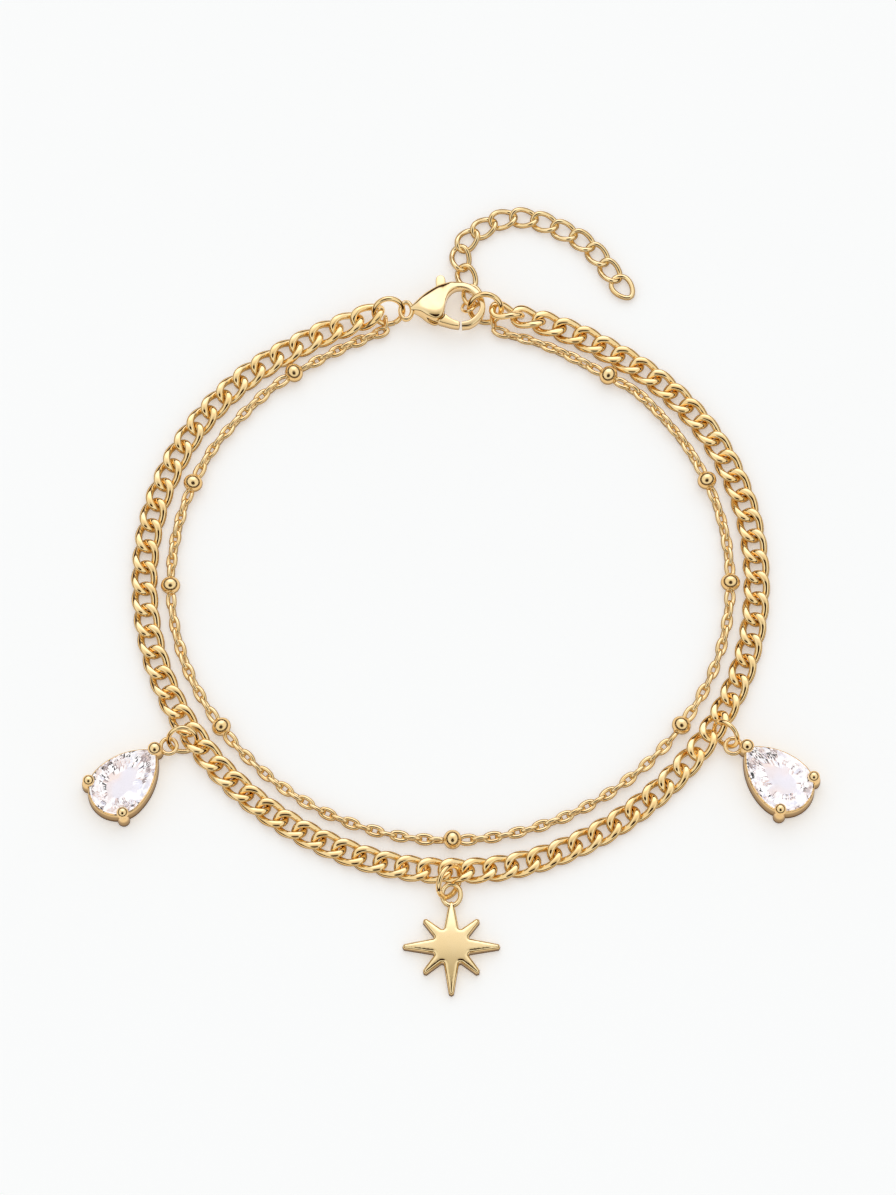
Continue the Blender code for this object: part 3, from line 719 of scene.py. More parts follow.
BALL_HOLE = 0.36
BALL_STEPS = 22
BALL_LIP = (
    # inwards from the ball's end, less than the hole's radius by
    (0.16, 0.31), (0.12, 0.06), (-0.01, 0.04),
)
half_length, radius = BALL_LENGTH / 2, BALL_DIAMETER / 2
hole_turn = math.asin(BALL_HOLE / radius)
lip = [(-half_length + inwards, BALL_HOLE - less) for inwards, less in BALL_LIP]
turns = [hole_turn + (math.pi - 2 * hole_turn) * step / BALL_STEPS
         for step in range(BALL_STEPS + 1)]
ball_profile = lip + [(-half_length * math.cos(turn), radius * math.sin(turn)) for turn in turns]
ball_profile += [(-x, out) for x, out in reversed(lip)]
ball_skin = turned(ball_profile, sides=40)
for number, distance in enumerate(BALL_DISTANCES, start=1):
    ball = Shape().add_skin(ball_skin, cable_route.place(distance, radius), looped=False)
    make_piece(f"ball_{number}", ball, "bead_gold", f"satellite_bead_{number}")

# %% [markdown]
# ## The extender
# The extender is a second, lighter curb chain. Its wire is thinner and its links are rounder, so
# one sees through them. The last link at its free end is drawn out to a slight point, and the two
# links beside the clasp are plain ovals, which lets them turn up and pass behind it. The cable
# chain ends in plain ovals too, so all of these share one table.

# %% The extender
EXTENDER_ROUTE = (
    (17.75, 32.95), (16.55, 34.60), (15.17, 36.50), (13.60, 38.03), (11.72, 39.12), (9.69, 40.05),
    (7.45, 40.54), (5.41, 40.32), (3.67, 39.45), (2.04, 38.19), (1.27, 36.60), (1.55, 35.00),
    (1.98, 33.75), (2.45, 31.95),
)
EXTENDER_LINKS = 11
EXTENDER_WIRE = 0.54
EXTENDER_LENGTH = 3.10
EXTENDER_WIDTH = 2.28
EXTENDER_TWIST = 0.27
EXTENDER_MIDDLE = 0.55

extender_route = Route(EXTENDER_ROUTE)
extender_step = extender_route.length / (EXTENDER_LINKS + 1)
skin = oval_skin(EXTENDER_LENGTH, EXTENDER_WIDTH, EXTENDER_WIRE, sides=14,
                 twist=EXTENDER_TWIST, steps=40)
extender = Shape()
for index in range(1, EXTENDER_LINKS + 1):
    extender.add_skin(skin, extender_route.place(index * extender_step, EXTENDER_MIDDLE))
make_piece("extender_links", extender, "extender_gold", "extender_chain")
print("extender step in mm:", round(extender_step, 3))

# %% Single oval links
OVAL_LINKS = (
    # piece, CAD node, finish, x, y, z, heading, pitch, roll, length, width, wire, point
    ("extender_tip", "extender_end_link", "extender_gold",
     17.75, 32.95, 0.50, -52.0, 0.0, 0.0, 3.1, 2.4, 0.52, 0.22),
    ("extender_oval_13", "extender_link_13", "extender_gold",
     2.45, 31.95, 0.74, -77.7, 2.7, -4.7, 2.7, 2.2, 0.46, 0.0),
    ("extender_oval_14", "extender_link_14", "extender_gold",
     2.11, 30.62, 1.30, -79.7, 48.0, 16.6, 2.74, 1.82, 0.34, 0.0),
    ("cable_end_left", "satellite_end_link_left", "cable_gold",
     -6.37, 28.96, 0.66, 90.0, 5.0, 107.0, 1.9, 1.30, 0.30, 0.0),
    ("cable_end_right", "satellite_end_link_right", "cable_gold",
     4.59, 29.20, 0.72, 97.0, -1.0, 66.0, 1.9, 1.30, 0.30, 0.0),
)
for name, node, finish, x, y, z, heading, pitch, roll, length, width, wire, point in OVAL_LINKS:
    oval = Shape().add_skin(oval_skin(length, width, wire, sides=16, point=point),
                            place(x, y, z, heading, pitch, roll))
    make_piece(name, oval, finish, node)

# %% [markdown]
# ## Jump rings
# A jump ring is a round of wire sawn through once, so that it can be twisted open and shut. The
# cut is what tells it from a cast ring. It is modelled as a wire that nearly closes, with both
# ends slightly broken at the edge, and it is turned to where the photo doesn't show it.

# %% Jump rings
JUMP_RINGS = (
    # name, x, y, z, outer diameter, wire, lean, high side, where the cut is
    ("jump_ring_left", -6.03, 29.90, 1.74, 3.50, 0.55, 51.0, 98.5, 200.0),
    ("jump_ring_right", 3.79, 30.23, 1.73, 3.80, 0.58, 49.0, 84.0, 250.0),
    ("star_jump_ring", 0.11, -29.84, 1.65, 3.76, 0.57, 60.0, 152.0, 60.0),
    ("drop_left_ring", -26.27, -15.23, 1.32, 3.30, 0.48, 49.6, 90.5, 110.0),
    ("drop_right_ring", 27.52, -14.71, 1.52, 3.30, 0.48, 63.6, 46.0, 70.0),
)
RING_CUT = 0.035
RING_STEPS = 72
BROKEN_EDGE = 0.05
BROKEN_SIZE = 0.82


def sawn_ring(diameter, wire, cut_at):
    """A round wire with a sawn cut, its two ends broken at the edge."""
    radius = (diameter - wire) / 2
    half_cut = RING_CUT / 2 / radius
    edge = BROKEN_EDGE / radius
    turns = np.linspace(half_cut + edge, 2 * np.pi - half_cut - edge, RING_STEPS)
    turns = np.concatenate([[half_cut], turns, [2 * np.pi - half_cut]]) + math.radians(cut_at)
    middle = arc_points(radius, turns)
    skin = wire_skin(middle, wire, wire, sides=20, looped=False)
    for end in (0, -1):
        skin[end] = middle[end] + (skin[end] - middle[end]) * BROKEN_SIZE
    return skin


for name, x, y, z, diameter, wire, lean, high_side, cut_at in JUMP_RINGS:
    skin = sawn_ring(diameter, wire, cut_at)
    ring = Shape().add_skin(skin, place(x, y, z, high_side, lean), looped=False)
    make_piece(f"{name}_wire", ring, "ring_gold", name)

# %% [markdown]
# ## The star
# The charm is a cast eight-pointed star, buffed until its edges are soft: narrow rounds at the
# tips, a rounded rim and a face that swells a little towards the middle. A bevel on a flat plate
# gives the rim but leaves the face dead flat, and a flat face shows one flat colour. So the face
# is a net of even triangles, with close rings of points along the rim, and each point's height
# follows from its distance to the edge, which gives one soft rim all round. The whole face falls
# away from the middle like a very flat dome, which turns one flat reflection into a slow gradient
# from arm to arm. Faces that all ran to the middle would show there as a star of creases.

# %% The star's outline
STAR_PLACE = (0.33, -36.22)
STAR_ARMS = (
    # direction in degrees, reach
    (0.0, 4.80), (45.0, 3.84), (90.0, 4.60), (135.0, 3.84),
    (180.0, 4.80), (225.0, 3.84), (270.0, 4.90), (315.0, 3.84),
)
NOTCH_REACH = 1.72
NOTCH_FROM_ARM = 26.5
TIP_RADIUS = 0.27
NOTCH_RADIUS = 0.20


def rounded_corner(before, corner, after, radius, steps=9):
    """An arc of a given radius that takes the place of a corner."""
    to_before, to_after = unit(before - corner), unit(after - corner)
    half = math.acos(np.clip(to_before @ to_after, -1, 1)) / 2
    middle = corner + unit(to_before + to_after) * radius / math.sin(half)
    start = corner + to_before * radius / math.tan(half) - middle
    end = corner + to_after * radius / math.tan(half) - middle
    shares = np.linspace(0, 1, steps)[:, None]
    arc = start * (1 - shares) + end * shares
    return middle + unit(arc) * radius


def arm_apex(reach, from_arm):
    """How far out an arm's sides would meet, if its rounded tip is to end at the reach."""
    along = NOTCH_REACH * math.cos(math.radians(from_arm))
    aside = NOTCH_REACH * math.sin(math.radians(from_arm))
    ahead = reach - TIP_RADIUS - along
    slope = math.acos(TIP_RADIUS / math.hypot(aside, ahead)) - math.atan2(ahead, aside)
    return along + aside / math.tan(slope)


def star_outline(side_steps=10):
    """Rounded tips and notches in turn, joined by straight sides."""
    spots, radii = [], []
    for number, (direction, reach) in enumerate(STAR_ARMS):
        from_arm = NOTCH_FROM_ARM if number % 2 == 0 else 45.0 - NOTCH_FROM_ARM
        for turn, out, radius in ((direction, arm_apex(reach, from_arm), TIP_RADIUS),
                                  (direction + from_arm, NOTCH_REACH, NOTCH_RADIUS)):
            turn = math.radians(turn)
            spots.append(np.array((out * math.cos(turn), out * math.sin(turn))))
            radii.append(radius)
    arcs = [rounded_corner(*corner) for corner in
            zip(spots[-1:] + spots, spots, spots[1:] + spots[:1], radii)]
    points = []
    for arc, following in zip(arcs, arcs[1:] + arcs[:1]):
        points.extend(arc)
        for step in range(1, side_steps):
            points.append(arc[-1] + (following[0] - arc[-1]) * step / side_steps)
    return np.array(points)


outline = star_outline()
print("star across:", [round(float(size), 2) for size in outline.max(0) - outline.min(0)])

# %% The star
STAR_THICKNESS = 1.4
RIM_REACH = 0.34
RIM_DROP = 0.34
RIM_STEPS = (0.0, 0.008, 0.025, 0.05, 0.085, 0.13, 0.18, 0.24)
FACE_RADIUS = 28.0
FACE_STEP = 0.15
ROW_SHARE = 0.87
LATTICE_REACH = 5.3
SAME_POINT = 1e-5
SIDE_ROWS = (
    # inwards from the outline, height
    (0.10, 0.0), (0.03, 0.03), (0.0, 0.10),
)
STAR_EYE = (2.30, 2.68, 0.50)
EYE_REACH, EYE_HEIGHT = 5.24, 0.80
STAR_WELD = 0.0005


def inward(points, distance):
    """The outline moved inwards by a distance."""
    along = unit(np.roll(points, -1, 0) - np.roll(points, 1, 0))
    return points + np.stack([-along[:, 1], along[:, 0]], axis=1) * distance


def edge_distance(points, edge):
    """How far each point lies from the edge line."""
    start, run = edge, np.roll(edge, -1, 0) - edge
    apart = points[:, None] - start[None]
    share = np.clip((apart * run).sum(2) / (run * run).sum(1), 0, 1)
    return np.linalg.norm(apart - share[..., None] * run, axis=2).min(1)


def face_height(points):
    """The rounded rim by distance from the edge, on a face that falls away from the middle."""
    inside = np.minimum(edge_distance(points, outline) / RIM_REACH, 1.0)
    fallen = (points ** 2).sum(1) / (2 * FACE_RADIUS)
    return STAR_THICKNESS - RIM_DROP + RIM_DROP * np.sqrt(1 - (1 - inside) ** 2) - fallen


def within(points, edge):
    """Which points lie inside a closed edge line, by counting how often a ray crosses it."""
    start, end = edge[None], np.roll(edge, -1, 0)[None]
    x, y = points[:, :1], points[:, 1:]
    spans = (start[..., 1] > y) != (end[..., 1] > y)
    rise = np.where(end[..., 1] == start[..., 1], 1.0, end[..., 1] - start[..., 1])
    crossing = start[..., 0] + (y - start[..., 1]) / rise * (end[..., 0] - start[..., 0])
    return (spans & (x < crossing)).sum(1) % 2 == 1


def star_face():
    """Rings of points along the rim and an even lattice inside, joined into triangles."""
    steps = np.arange(-LATTICE_REACH, LATTICE_REACH, FACE_STEP)
    lattice = np.array([(x + FACE_STEP / 2 * (row % 2), y * ROW_SHARE)
                        for row, y in enumerate(steps) for x in steps])
    lattice = lattice[within(lattice, outline)]
    lattice = lattice[edge_distance(lattice, outline) > RIM_STEPS[-1] + FACE_STEP / 3]
    flat = np.vstack([inward(outline, step) for step in RIM_STEPS] + [lattice])
    border = [(k, (k + 1) % len(outline)) for k in range(len(outline))]
    joined = delaunay_2d_cdt([Vector(point) for point in flat], border, [], 1, SAME_POINT)
    points = np.array([tuple(point) for point in joined[0]])
    return np.c_[points, face_height(points)], joined[2]


def star_side():
    """The broken lower edge and the wall up to the rim."""
    rows = [np.c_[inward(outline, step), np.full(len(outline), z)] for step, z in SIDE_ROWS]
    return np.array(rows + [np.c_[outline, face_height(outline)]])


star_x, star_y = STAR_PLACE
star_place = place(star_x, star_y, 0.0)
star = Shape().add_skin(star_side(), star_place, looped=False, capped=False)
face_points, face_triangles = star_face()
star.add(moved(face_points, star_place), face_triangles)
star.add_skin(oval_skin(*STAR_EYE, sides=20), place(star_x, star_y + EYE_REACH, EYE_HEIGHT))
star_piece = make_piece("star", star, "star_gold", "star_charm", sharp=55.0)
turn_outwards(star_piece.data, STAR_WELD)

# %% [markdown]
# ## The pear outline
# Stone and cup share one outline: a half circle at the round end and two long arcs that meet at
# the tip. Grown or shrunk by an offset, it gives every level of the stone and of the cup, so the
# two always fit. A point on it is found by its share of the way round, starting at the tip.

# %% The pear outline
DROPS = (
    # side, x, y, heading of the tip, place of the eye
    ("left", -32.67, -20.36, 46.0, (-27.66, -15.78)),
    ("right", 33.31, -20.01, 134.9, (28.25, -15.77)),
)
ROUND_RADIUS = 2.7
TIP_REACH = 5.3
SIDE_RADIUS = (TIP_REACH ** 2 + ROUND_RADIUS ** 2) / (2 * ROUND_RADIUS)
SIDE_DROP = SIDE_RADIUS - ROUND_RADIUS
SIDE_LENGTH = SIDE_RADIUS * math.acos(SIDE_DROP / SIDE_RADIUS)
SIDE_SHARE = SIDE_LENGTH / (2 * SIDE_LENGTH + math.pi * ROUND_RADIUS)


def pear_point(share, grow):
    """A point of the outline grown by an offset. Share 0 and 1 are the tip."""
    share = share % 1.0
    radius = SIDE_RADIUS + grow
    tip_turn = math.acos(min(1.0, SIDE_DROP / radius))
    if share < SIDE_SHARE:
        turn = tip_turn * (1 - share / SIDE_SHARE)
        return radius * math.sin(turn), radius * math.cos(turn) - SIDE_DROP
    if share > 1 - SIDE_SHARE:
        turn = tip_turn * (share - 1 + SIDE_SHARE) / SIDE_SHARE
        return radius * math.sin(turn), SIDE_DROP - radius * math.cos(turn)
    turn = math.pi / 2 + math.pi * (share - SIDE_SHARE) / (1 - 2 * SIDE_SHARE)
    end = ROUND_RADIUS + grow
    return end * math.cos(turn), end * math.sin(turn)


# %% [markdown]
# ## The cut stone
# A white stone is all facets. Above the girdle a crown of star, kite and half facets leads up to
# the flat table; below it a pavilion of many small facets throws the light back up. Small stones
# in plated jewellery are foiled behind, which keeps them white over a gold cup. So the stone is
# one closed mesh with two materials: clear glass for crown, table and girdle, and a silvered
# foil for the pavilion. A see-through pavilion would show the cup and look yellow.

# %% The stone's facets
FACETS = 28
CROWN = ((0.0, 1.98), (-0.52, 2.46), (-1.05, 2.74))
PAVILION = ((0.0, 1.85), (-0.34, 1.66), (-0.74, 1.53), (-1.18, 1.43), (-1.64, 1.36))
FACET_JITTER = 0.07
JITTER_RATES = (12.9898, 78.233)
CLEAR, FOIL = 0, 1


def level(grow, z, offset, count, jitter=0.0):
    """A ring of facet corners at one level of the stone."""
    corners = []
    for index in range(count):
        lift = jitter * math.sin(JITTER_RATES[0] * index + JITTER_RATES[1] * z)
        corners.append((*pear_point((index + offset) / count, grow), z + lift))
    return corners


def add_facets(shape, behind, ahead):
    """Foil triangles between two rings of equal count, the second half a facet ahead."""
    count = len(behind)
    faces = []
    for index in range(count):
        step = (index + 1) % count
        faces += [(index, step, count + index), (step, count + step, count + index)]
    shape.add(behind + ahead, faces, FOIL)


def cut_stone():
    """Crown, table, girdle and pavilion, from rings of facet corners."""
    stone = Shape()
    girdle_top = level(*CROWN[0], 0.0, 2 * FACETS)
    middle = level(*CROWN[1], 0.5, FACETS)
    table = level(*CROWN[2], 0.0, FACETS)
    ring, top = 2 * FACETS, 3 * FACETS
    faces = []
    for k in range(FACETS):
        after = (k + 1) % FACETS
        before = (k - 1) % FACETS
        faces += [(2 * k, 2 * k + 1, ring + k), (2 * k + 1, 2 * after, ring + k),
                  (ring + k, top + after, top + k), (2 * k, ring + k, top + k, ring + before)]
    faces.append(tuple(range(top, top + FACETS)))
    stone.add(girdle_top + middle + table, faces, CLEAR)
    rings = [level(*PAVILION[0], 0.0, ring)]
    faces = [(k, (k + 1) % ring, ring + (k + 1) % ring, ring + k) for k in range(ring)]
    stone.add(rings[0] + girdle_top, faces, CLEAR)
    for number, (grow, z) in enumerate(PAVILION[1:], start=1):
        jitter = FACET_JITTER if number < len(PAVILION) - 1 else 0.0
        rings.append(level(grow, z, 0.5 * (number % 2), ring, jitter))
    for number, (upper, lower) in enumerate(zip(rings, rings[1:])):
        add_facets(stone, *((lower, upper) if number % 2 else (upper, lower)))
    return stone.add(rings[-1], [tuple(range(ring))], FOIL)


stone = cut_stone()
print("facets on a stone:", len(stone.faces))

# %% [markdown]
# The foil's tints are painted reflections, and they are what make a white stone look alive: most
# facets throw back plain white, some a rose or lilac grey, and a few go dark, as a stone throws
# back its surroundings. Each facet has one normal of its own, and noise read at that normal gives
# each one painted tint. A larger, soft noise keeps whole areas plain white, and the flat in the
# middle, which looks straight back through the table, stays a painted pale lilac and rose.
# Foil shines by light that has crossed the glass twice, which path tracing finds slowly, so a
# little emission of the same tints stands in for it.

# %% Glass and foil
# painted reflections: the tints each facet throws back, white, lilac, rose, grey and dark
FACET_PAINTED_REFLECTIONS = (
    # from, colour
    (0.00, (1.00, 1.00, 1.00)), (0.34, (0.70, 0.72, 0.82)), (0.46, (0.98, 0.94, 0.93)),
    (0.58, (0.66, 0.55, 0.52)), (0.70, (0.36, 0.30, 0.30)), (0.80, (0.04, 0.045, 0.045)),
)
AREA_STOPS = ((0.30, 0.45), (0.42, 0.81), (0.54, 0.95))
LEVEL_STOPS = ((0.9990, 0.0), (0.9998, 1.0), (1.0, 1.0))
MIDDLE_STOPS = ((0.40, 0.0), (0.5, 0.5), (0.58, 1.0))
MIDDLE_PAINTED_REFLECTIONS = ((0.74, 0.73, 0.79, 1.0), (0.78, 0.67, 0.63, 1.0))
GLASS_IOR = 1.75
FOIL_ROUGHNESS = 0.10
FOIL_GLOW = 0.54
STONE_WELD = 0.0001


def painted_facet_group():
    """Painted reflections: facets of white, rose, lilac and grey, as a stone throws them back."""
    group, given, handed = new_group("stone painted reflections", (("Area Scale", "NodeSocketFloat", 420.0),),
                                     (("Color", "NodeSocketColor"),))
    facet = new_node(group, "ShaderNodeNewGeometry").outputs["True Normal"]
    lot = new_node(group, "ShaderNodeTexWhiteNoise", noise_dimensions="3D", Vector=facet)
    where = new_node(group, "ShaderNodeTexCoord").outputs["Object"]
    area = new_node(group, "ShaderNodeTexNoise", Vector=where, Scale=given["Area Scale"],
                    Detail=1.0).outputs["Fac"]
    share = maths(group, "MULTIPLY", lot.outputs["Value"], stepped(group, area, AREA_STOPS))
    parts = new_node(group, "ShaderNodeSeparateXYZ", Vector=facet)
    level_mask = stepped(group, maths(group, "ABSOLUTE", parts.outputs["Z"]), LEVEL_STOPS)
    middle = overlay(group, stepped(group, area, MIDDLE_STOPS), *MIDDLE_PAINTED_REFLECTIONS)
    cut = coloured(group, share, FACET_PAINTED_REFLECTIONS, "CONSTANT")
    feed(group, handed, Color=overlay(group, level_mask, cut, middle))
    return group


glass = new_material("clear stone", Base_Color=(1.0, 1.0, 1.0, 1.0), Roughness=0.0,
                     IOR=GLASS_IOR, Transmission_Weight=1.0)[0]
foil, tree, shader = new_material("silvered foil", Metallic=0.0, Roughness=FOIL_ROUGHNESS,
                                  Emission_Strength=FOIL_GLOW)
# the foil's colour and glow are the painted facet reflections
painted_facets = new_node(tree, "ShaderNodeGroup", node_tree=painted_facet_group()).outputs["Color"]
feed(tree, shader, Base_Color=painted_facets, Emission_Color=painted_facets)

for side, x, y, heading, _ in DROPS:
    gem = Shape()
    gem.points = [moved(points, place(x, y, 0.0, heading)) for points in stone.points]
    gem.faces, gem.kinds = stone.faces, stone.kinds
    made = make_piece(f"pear_stone_{side}", gem, "clear_stone", f"drop_{side}_stone",
                      sharp=1.0, materials=[glass, foil])
    turn_outwards(made.data, STONE_WELD)
    made.data.shade_flat()

# %% [markdown]
# ## Cup and prongs
# The setting is one casting: a low cup whose rolled edge carries the girdle, three prongs with
# ball heads bent over the stone, and a small eye at the tip. The cup is lofted from the pear
# outline, and the prongs are turned profiles set on its side.

# %% The settings
CUP_PROFILE = (
    # outline grown by, height
    (-1.20, 0.02), (0.12, 0.0), (0.23, 0.03), (0.27, 0.10), (0.25, 0.60), (0.20, 1.30),
    (0.16, 1.68), (0.13, 1.76), (0.08, 1.79), (0.03, 1.76), (-0.42, 1.37), (-0.42, 0.45),
    (-1.20, 0.42),
)
PRONG_PROFILE = (
    # outward from the stone's edge, height, radius
    (0.24, 0.04, 0.52), (0.24, 0.12, 0.62), (0.26, 0.60, 0.62), (0.29, 1.05, 0.58),
    (0.33, 1.40, 0.52), (0.37, 1.62, 0.44), (0.40, 1.80, 0.36), (0.39, 1.98, 0.32),
    (0.32, 2.12, 0.32), (0.22, 2.20, 0.36),
)
PRONG_HEAD = (0.12, 2.60, 0.55)
PRONGS = (
    # direction, head bent inwards by, size
    (0.0, 0.10, 1.26), (123.0, 0.0, 1.10), (-123.0, 0.0, 1.10),
)
CUP_STEPS = 128
HEAD_FROM, HEAD_TO, HEAD_STEPS = -0.9, math.pi / 2 - 0.05, 12
SETTING_EYE = (2.0, 0.42)
SETTING_EYE_HEIGHT = 0.90


def prong_skin(direction, bent, size, sides=24):
    """A prong's stem and ball head, turned about an upright line at the stone's edge."""
    turn = math.radians(direction)
    outward = np.array([math.cos(turn), math.sin(turn), 0.0])
    edge = outward * (TIP_REACH if direction == 0 else ROUND_RADIUS)
    rows = list(PRONG_PROFILE)
    out, height, radius = PRONG_HEAD
    for tilt in np.linspace(HEAD_FROM, HEAD_TO, HEAD_STEPS):
        rows.append((out - bent, height + radius * math.sin(tilt), size * radius * math.cos(tilt)))
    circle = arc_points(1.0, round_turns(sides))
    return np.array([edge + outward * out + (0, 0, z) + circle * radius for out, z, radius in rows])


def flat_ring(diameter, wire, steps=56):
    """A closed ring of round wire that lies flat."""
    middle = arc_points((diameter - wire) / 2, round_turns(steps))
    return wire_skin(middle, wire, wire, sides=18)


cup = np.array([[(*pear_point(share, grow), z) for share in np.arange(CUP_STEPS) / CUP_STEPS]
                for grow, z in CUP_PROFILE])
for side, x, y, heading, eye in DROPS:
    where = place(x, y, 0.0, heading)
    setting = Shape().add_skin(cup, where, looped=False)
    for prong in PRONGS:
        setting.add_skin(prong_skin(*prong), where, looped=False)
    setting.add_skin(flat_ring(*SETTING_EYE), place(*eye, SETTING_EYE_HEIGHT))
    make_piece(f"setting_{side}", setting, "setting_gold", f"drop_{side}_setting", sharp=50.0)

# %% [markdown]
# ## The clasp
# A lobster clasp is cast in one piece: a swollen heart-shaped body that runs on into a flat hook,
# with an eye at its back. Its sections are rounded boxes lofted along the bar, wide and domed at
# the body and slim and flat at the hook. The lever's slot is cut through the body and the pin
# left across it by Booleans, as they would be milled and riveted. Lofting is easier to steer than
# a subdivided cage here, because each section is one row of a table.

# %% The clasp body
CLASP_MIDDLE = 1.72
CLASP_SECTIONS = (
    # outer x, outer y, inner x, inner y, height, roundness (0 is a box), dome, cheek
    (-3.80, 30.36, -3.70, 29.84, 1.00, 0.70, 0.05, 0.00),
    (-2.84, 31.34, -2.83, 29.62, 1.62, 0.42, 0.16, 0.18),
    (-2.10, 31.98, -2.05, 29.14, 1.84, 0.32, 0.24, 0.30),
    (-1.32, 32.48, -1.25, 28.86, 1.90, 0.28, 0.26, 0.30),
    (-0.75, 32.74, -0.62, 29.12, 1.88, 0.28, 0.25, 0.08),
    (-0.35, 32.86, -0.36, 29.78, 1.82, 0.30, 0.20, 0.00),
    (0.00, 32.94, -0.26, 30.60, 1.72, 0.32, 0.15, 0.00),
    (0.40, 32.99, 0.05, 31.52, 1.60, 0.34, 0.10, 0.00),
    (0.95, 32.97, 0.75, 32.14, 1.45, 0.38, 0.12, 0.00),
    (1.75, 32.90, 1.60, 32.17, 1.32, 0.38, 0.08, 0.00),
    (2.60, 32.50, 2.28, 31.86, 1.26, 0.38, 0.06, 0.00),
    (3.38, 31.72, 2.86, 31.28, 1.24, 0.38, 0.06, 0.00),
    (3.78, 30.60, 3.20, 30.50, 1.22, 0.38, 0.06, 0.00),
    (3.66, 29.50, 3.10, 29.86, 1.22, 0.38, 0.06, 0.00),
    (3.05, 28.62, 2.66, 29.24, 1.22, 0.38, 0.06, 0.00),
    (2.25, 28.08, 2.04, 28.80, 1.22, 0.38, 0.06, 0.00),
    (1.42, 27.97, 1.38, 28.66, 1.20, 0.38, 0.06, 0.00),
)
SLOT_OUTLINE = (
    (-2.28, 29.72), (-2.02, 29.95), (-1.80, 30.45), (-2.50, 32.20), (-3.00, 33.60), (0.00, 33.60),
    (-0.12, 32.30), (-0.58, 30.25), (0.20, 30.05), (0.20, 28.20), (-1.50, 28.00), (-1.68, 28.70),
    (-2.01, 28.94), (-2.24, 29.28),
)
PEAK_ASIDE = 0.55
CHEEK_START, CHEEK_RISE = 0.2, 1.6
PIVOT = (-1.20, 29.75)
CLASP_EYE = (1.66, 2.30, 0.48)
CLASP_EYE_HEIGHT = 0.84
CLASP_EYE_PLACE = (-4.24, 29.95, CLASP_MIDDLE)
SLOT_WIDTH = 0.56
PIN_RADIUS, PIN_LENGTH = 0.20, 1.0
CAST_SHARP = 38.0
EDGE_STEPS = 5

at_clasp = place(0, 0, CLASP_MIDDLE)


def clasp_skin(sides=44):
    """Sections along the bar. A dome lowers each away from its peak, a cheek tucks it in below."""
    turn = round_turns(sides, 0.5)
    rows = []
    for row in smoothed(CLASP_SECTIONS, steps=6):
        outer, inner = np.array([row[0], row[1], 0]), np.array([row[2], row[3], 0])
        height, roundness, dome, cheek = row[4:]
        across = np.sign(np.cos(turn)) * np.abs(np.cos(turn)) ** roundness
        upward = np.sign(np.sin(turn)) * np.abs(np.sin(turn)) ** roundness
        upward *= 1 - dome * (across + PEAK_ASIDE) ** 2
        width = np.linalg.norm(outer - inner)
        lower = np.clip(CHEEK_START - CHEEK_RISE * upward, 0, 1) * np.clip(-across, 0, 1)
        across = across - lower * cheek / (width / 2)
        rows.append((outer + inner) / 2 + np.outer(across, (outer - inner) / 2)
                    + np.outer(upward, (0, 0, height / 2)))
    return np.array(rows)


def plate(outline_points, thickness, edge=0.0):
    """A flat plate about the clasp's middle height, with softened edges."""
    half = thickness / 2
    points = np.array(outline_points, float)
    levels = [(0.0, -half), (0.0, half)]
    if edge:
        levels = [(edge * (1 - math.cos(turn)), half - edge + edge * math.sin(turn))
                  for turn in np.linspace(0, math.pi / 2, EDGE_STEPS)]
        levels = [(out, -z) for out, z in reversed(levels)] + levels
    return np.array([np.c_[inward(points, out), np.full(len(points), z)] for out, z in levels])


def disc(radius, sides=32):
    return arc_points(radius, round_turns(sides))[:, :2] + PIVOT


def shaped_by(piece, *steps):
    """Applies exact Booleans to a piece, each with a solid that isn't itself a piece."""
    cutters = [make_solid(name, shape) for _, name, shape in steps]
    for (operation, name, _), cutter in zip(steps, cutters):
        change = piece.modifiers.new(name, "BOOLEAN")
        change.operation = operation
        change.solver = "EXACT"
        change.object = cutter
    graph = bpy.context.evaluated_depsgraph_get()
    result = bpy.data.meshes.new_from_object(piece.evaluated_get(graph))
    piece.modifiers.clear()
    piece.data = result
    for cutter in cutters:
        bpy.data.objects.remove(cutter)
    smooth_over(piece, CAST_SHARP)


def plate_shape(*size):
    """A plate as a closed shape at the clasp."""
    return Shape().add_skin(plate(*size), at_clasp, looped=False)


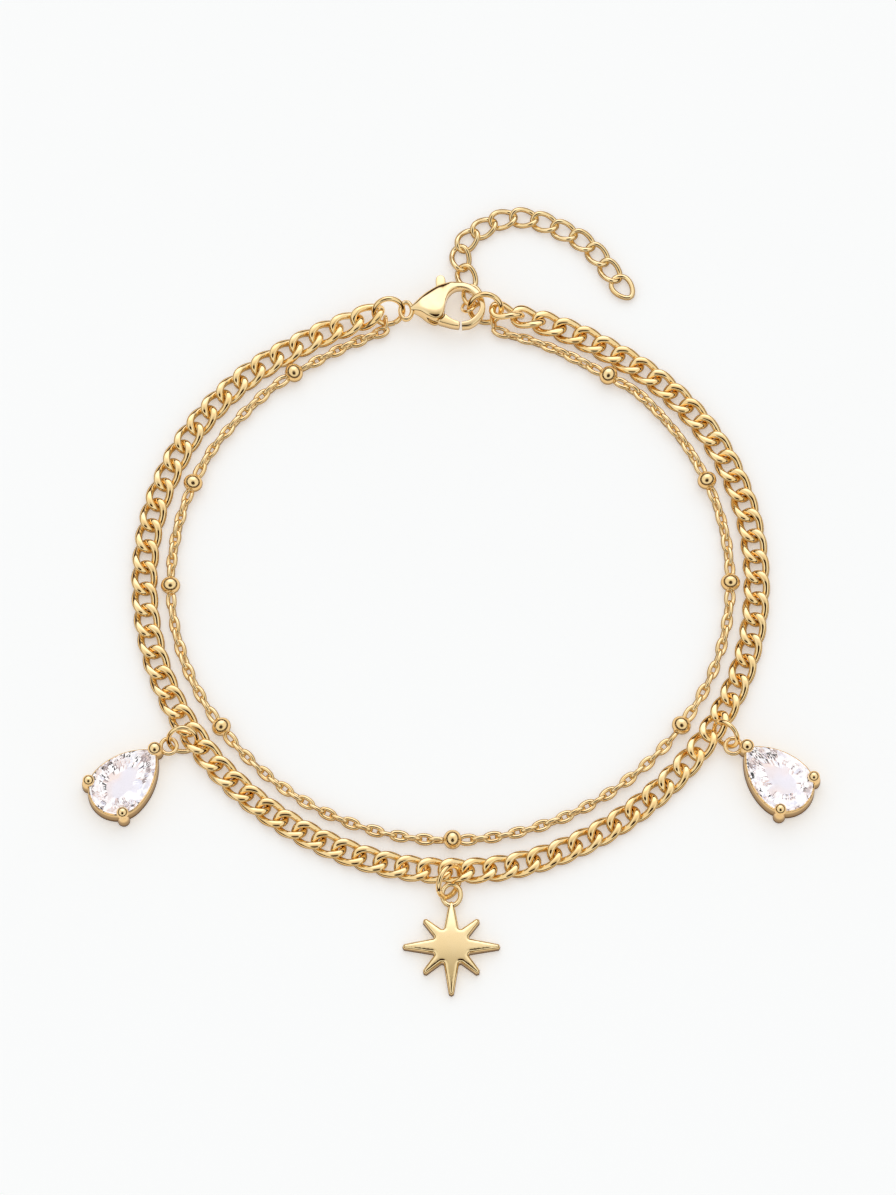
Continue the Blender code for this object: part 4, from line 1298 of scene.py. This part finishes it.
clasp = Shape().add_skin(clasp_skin(), at_clasp, looped=False)
clasp_piece = make_piece("clasp", clasp, "clasp_gold", "clasp_body")
eye_skin = wire_skin(oval_line(*CLASP_EYE), CLASP_EYE[2], CLASP_EYE_HEIGHT, sides=20)
shaped_by(clasp_piece,
          ("UNION", "eye", Shape().add_skin(eye_skin, place(*CLASP_EYE_PLACE))),
          ("DIFFERENCE", "slot", plate_shape(SLOT_OUTLINE, SLOT_WIDTH)),
          ("UNION", "pin", plate_shape(disc(PIN_RADIUS), PIN_LENGTH)))

# %% [markdown]
# ## The lever
# The lever is the only part that works: a gate with a rounded end that meets the hook, a web
# that runs through the slot round the pin, and a thumb tab that stands out behind. It rides on
# its own CAD body, so it turns when the frame's joint does.

# %% The lever
GATE_OUTLINE = (
    (-0.34, 29.46), (-0.46, 29.20), (-0.66, 28.98), (-0.92, 28.84), (-0.96, 28.58), (-0.30, 28.36),
    (0.40, 28.16), (0.98, 28.08), (1.16, 28.18), (1.20, 28.46), (1.08, 28.66), (0.50, 28.88),
    (0.08, 29.16), (-0.14, 29.38),
)
WEB_OUTLINE = (
    # drawn clockwise, and turned round below, because a plate needs its inside on the left
    (-2.16, 29.30), (-2.10, 29.72), (-1.72, 30.05), (-1.55, 30.35), (-1.25, 32.30), (-1.25, 33.25),
    (-1.10, 33.62), (-0.76, 33.78), (-0.42, 33.62), (-0.27, 33.25), (-0.30, 32.40), (-0.75, 30.20),
    (-0.55, 29.60), (-0.15, 29.05), (-0.15, 28.62), (-0.80, 28.70), (-1.45, 28.86),
)
GATE_THICKNESS, GATE_EDGE = 1.22, 0.13
WEB_THICKNESS, WEB_EDGE = 0.44, 0.10
BORE_RADIUS, BORE_LENGTH = 0.28, 2.0

gate_line = smoothed(GATE_OUTLINE, steps=4, closed=True)
web_line = smoothed(WEB_OUTLINE, steps=5, closed=True)[::-1]
lever = plate_shape(gate_line, GATE_THICKNESS, GATE_EDGE)
lever_piece = make_piece("lever", lever, "lever_gold", "clasp_lever", body="lever")
shaped_by(lever_piece, ("UNION", "web", plate_shape(web_line, WEB_THICKNESS, WEB_EDGE)),
          ("DIFFERENCE", "bore", plate_shape(disc(BORE_RADIUS), BORE_LENGTH)))
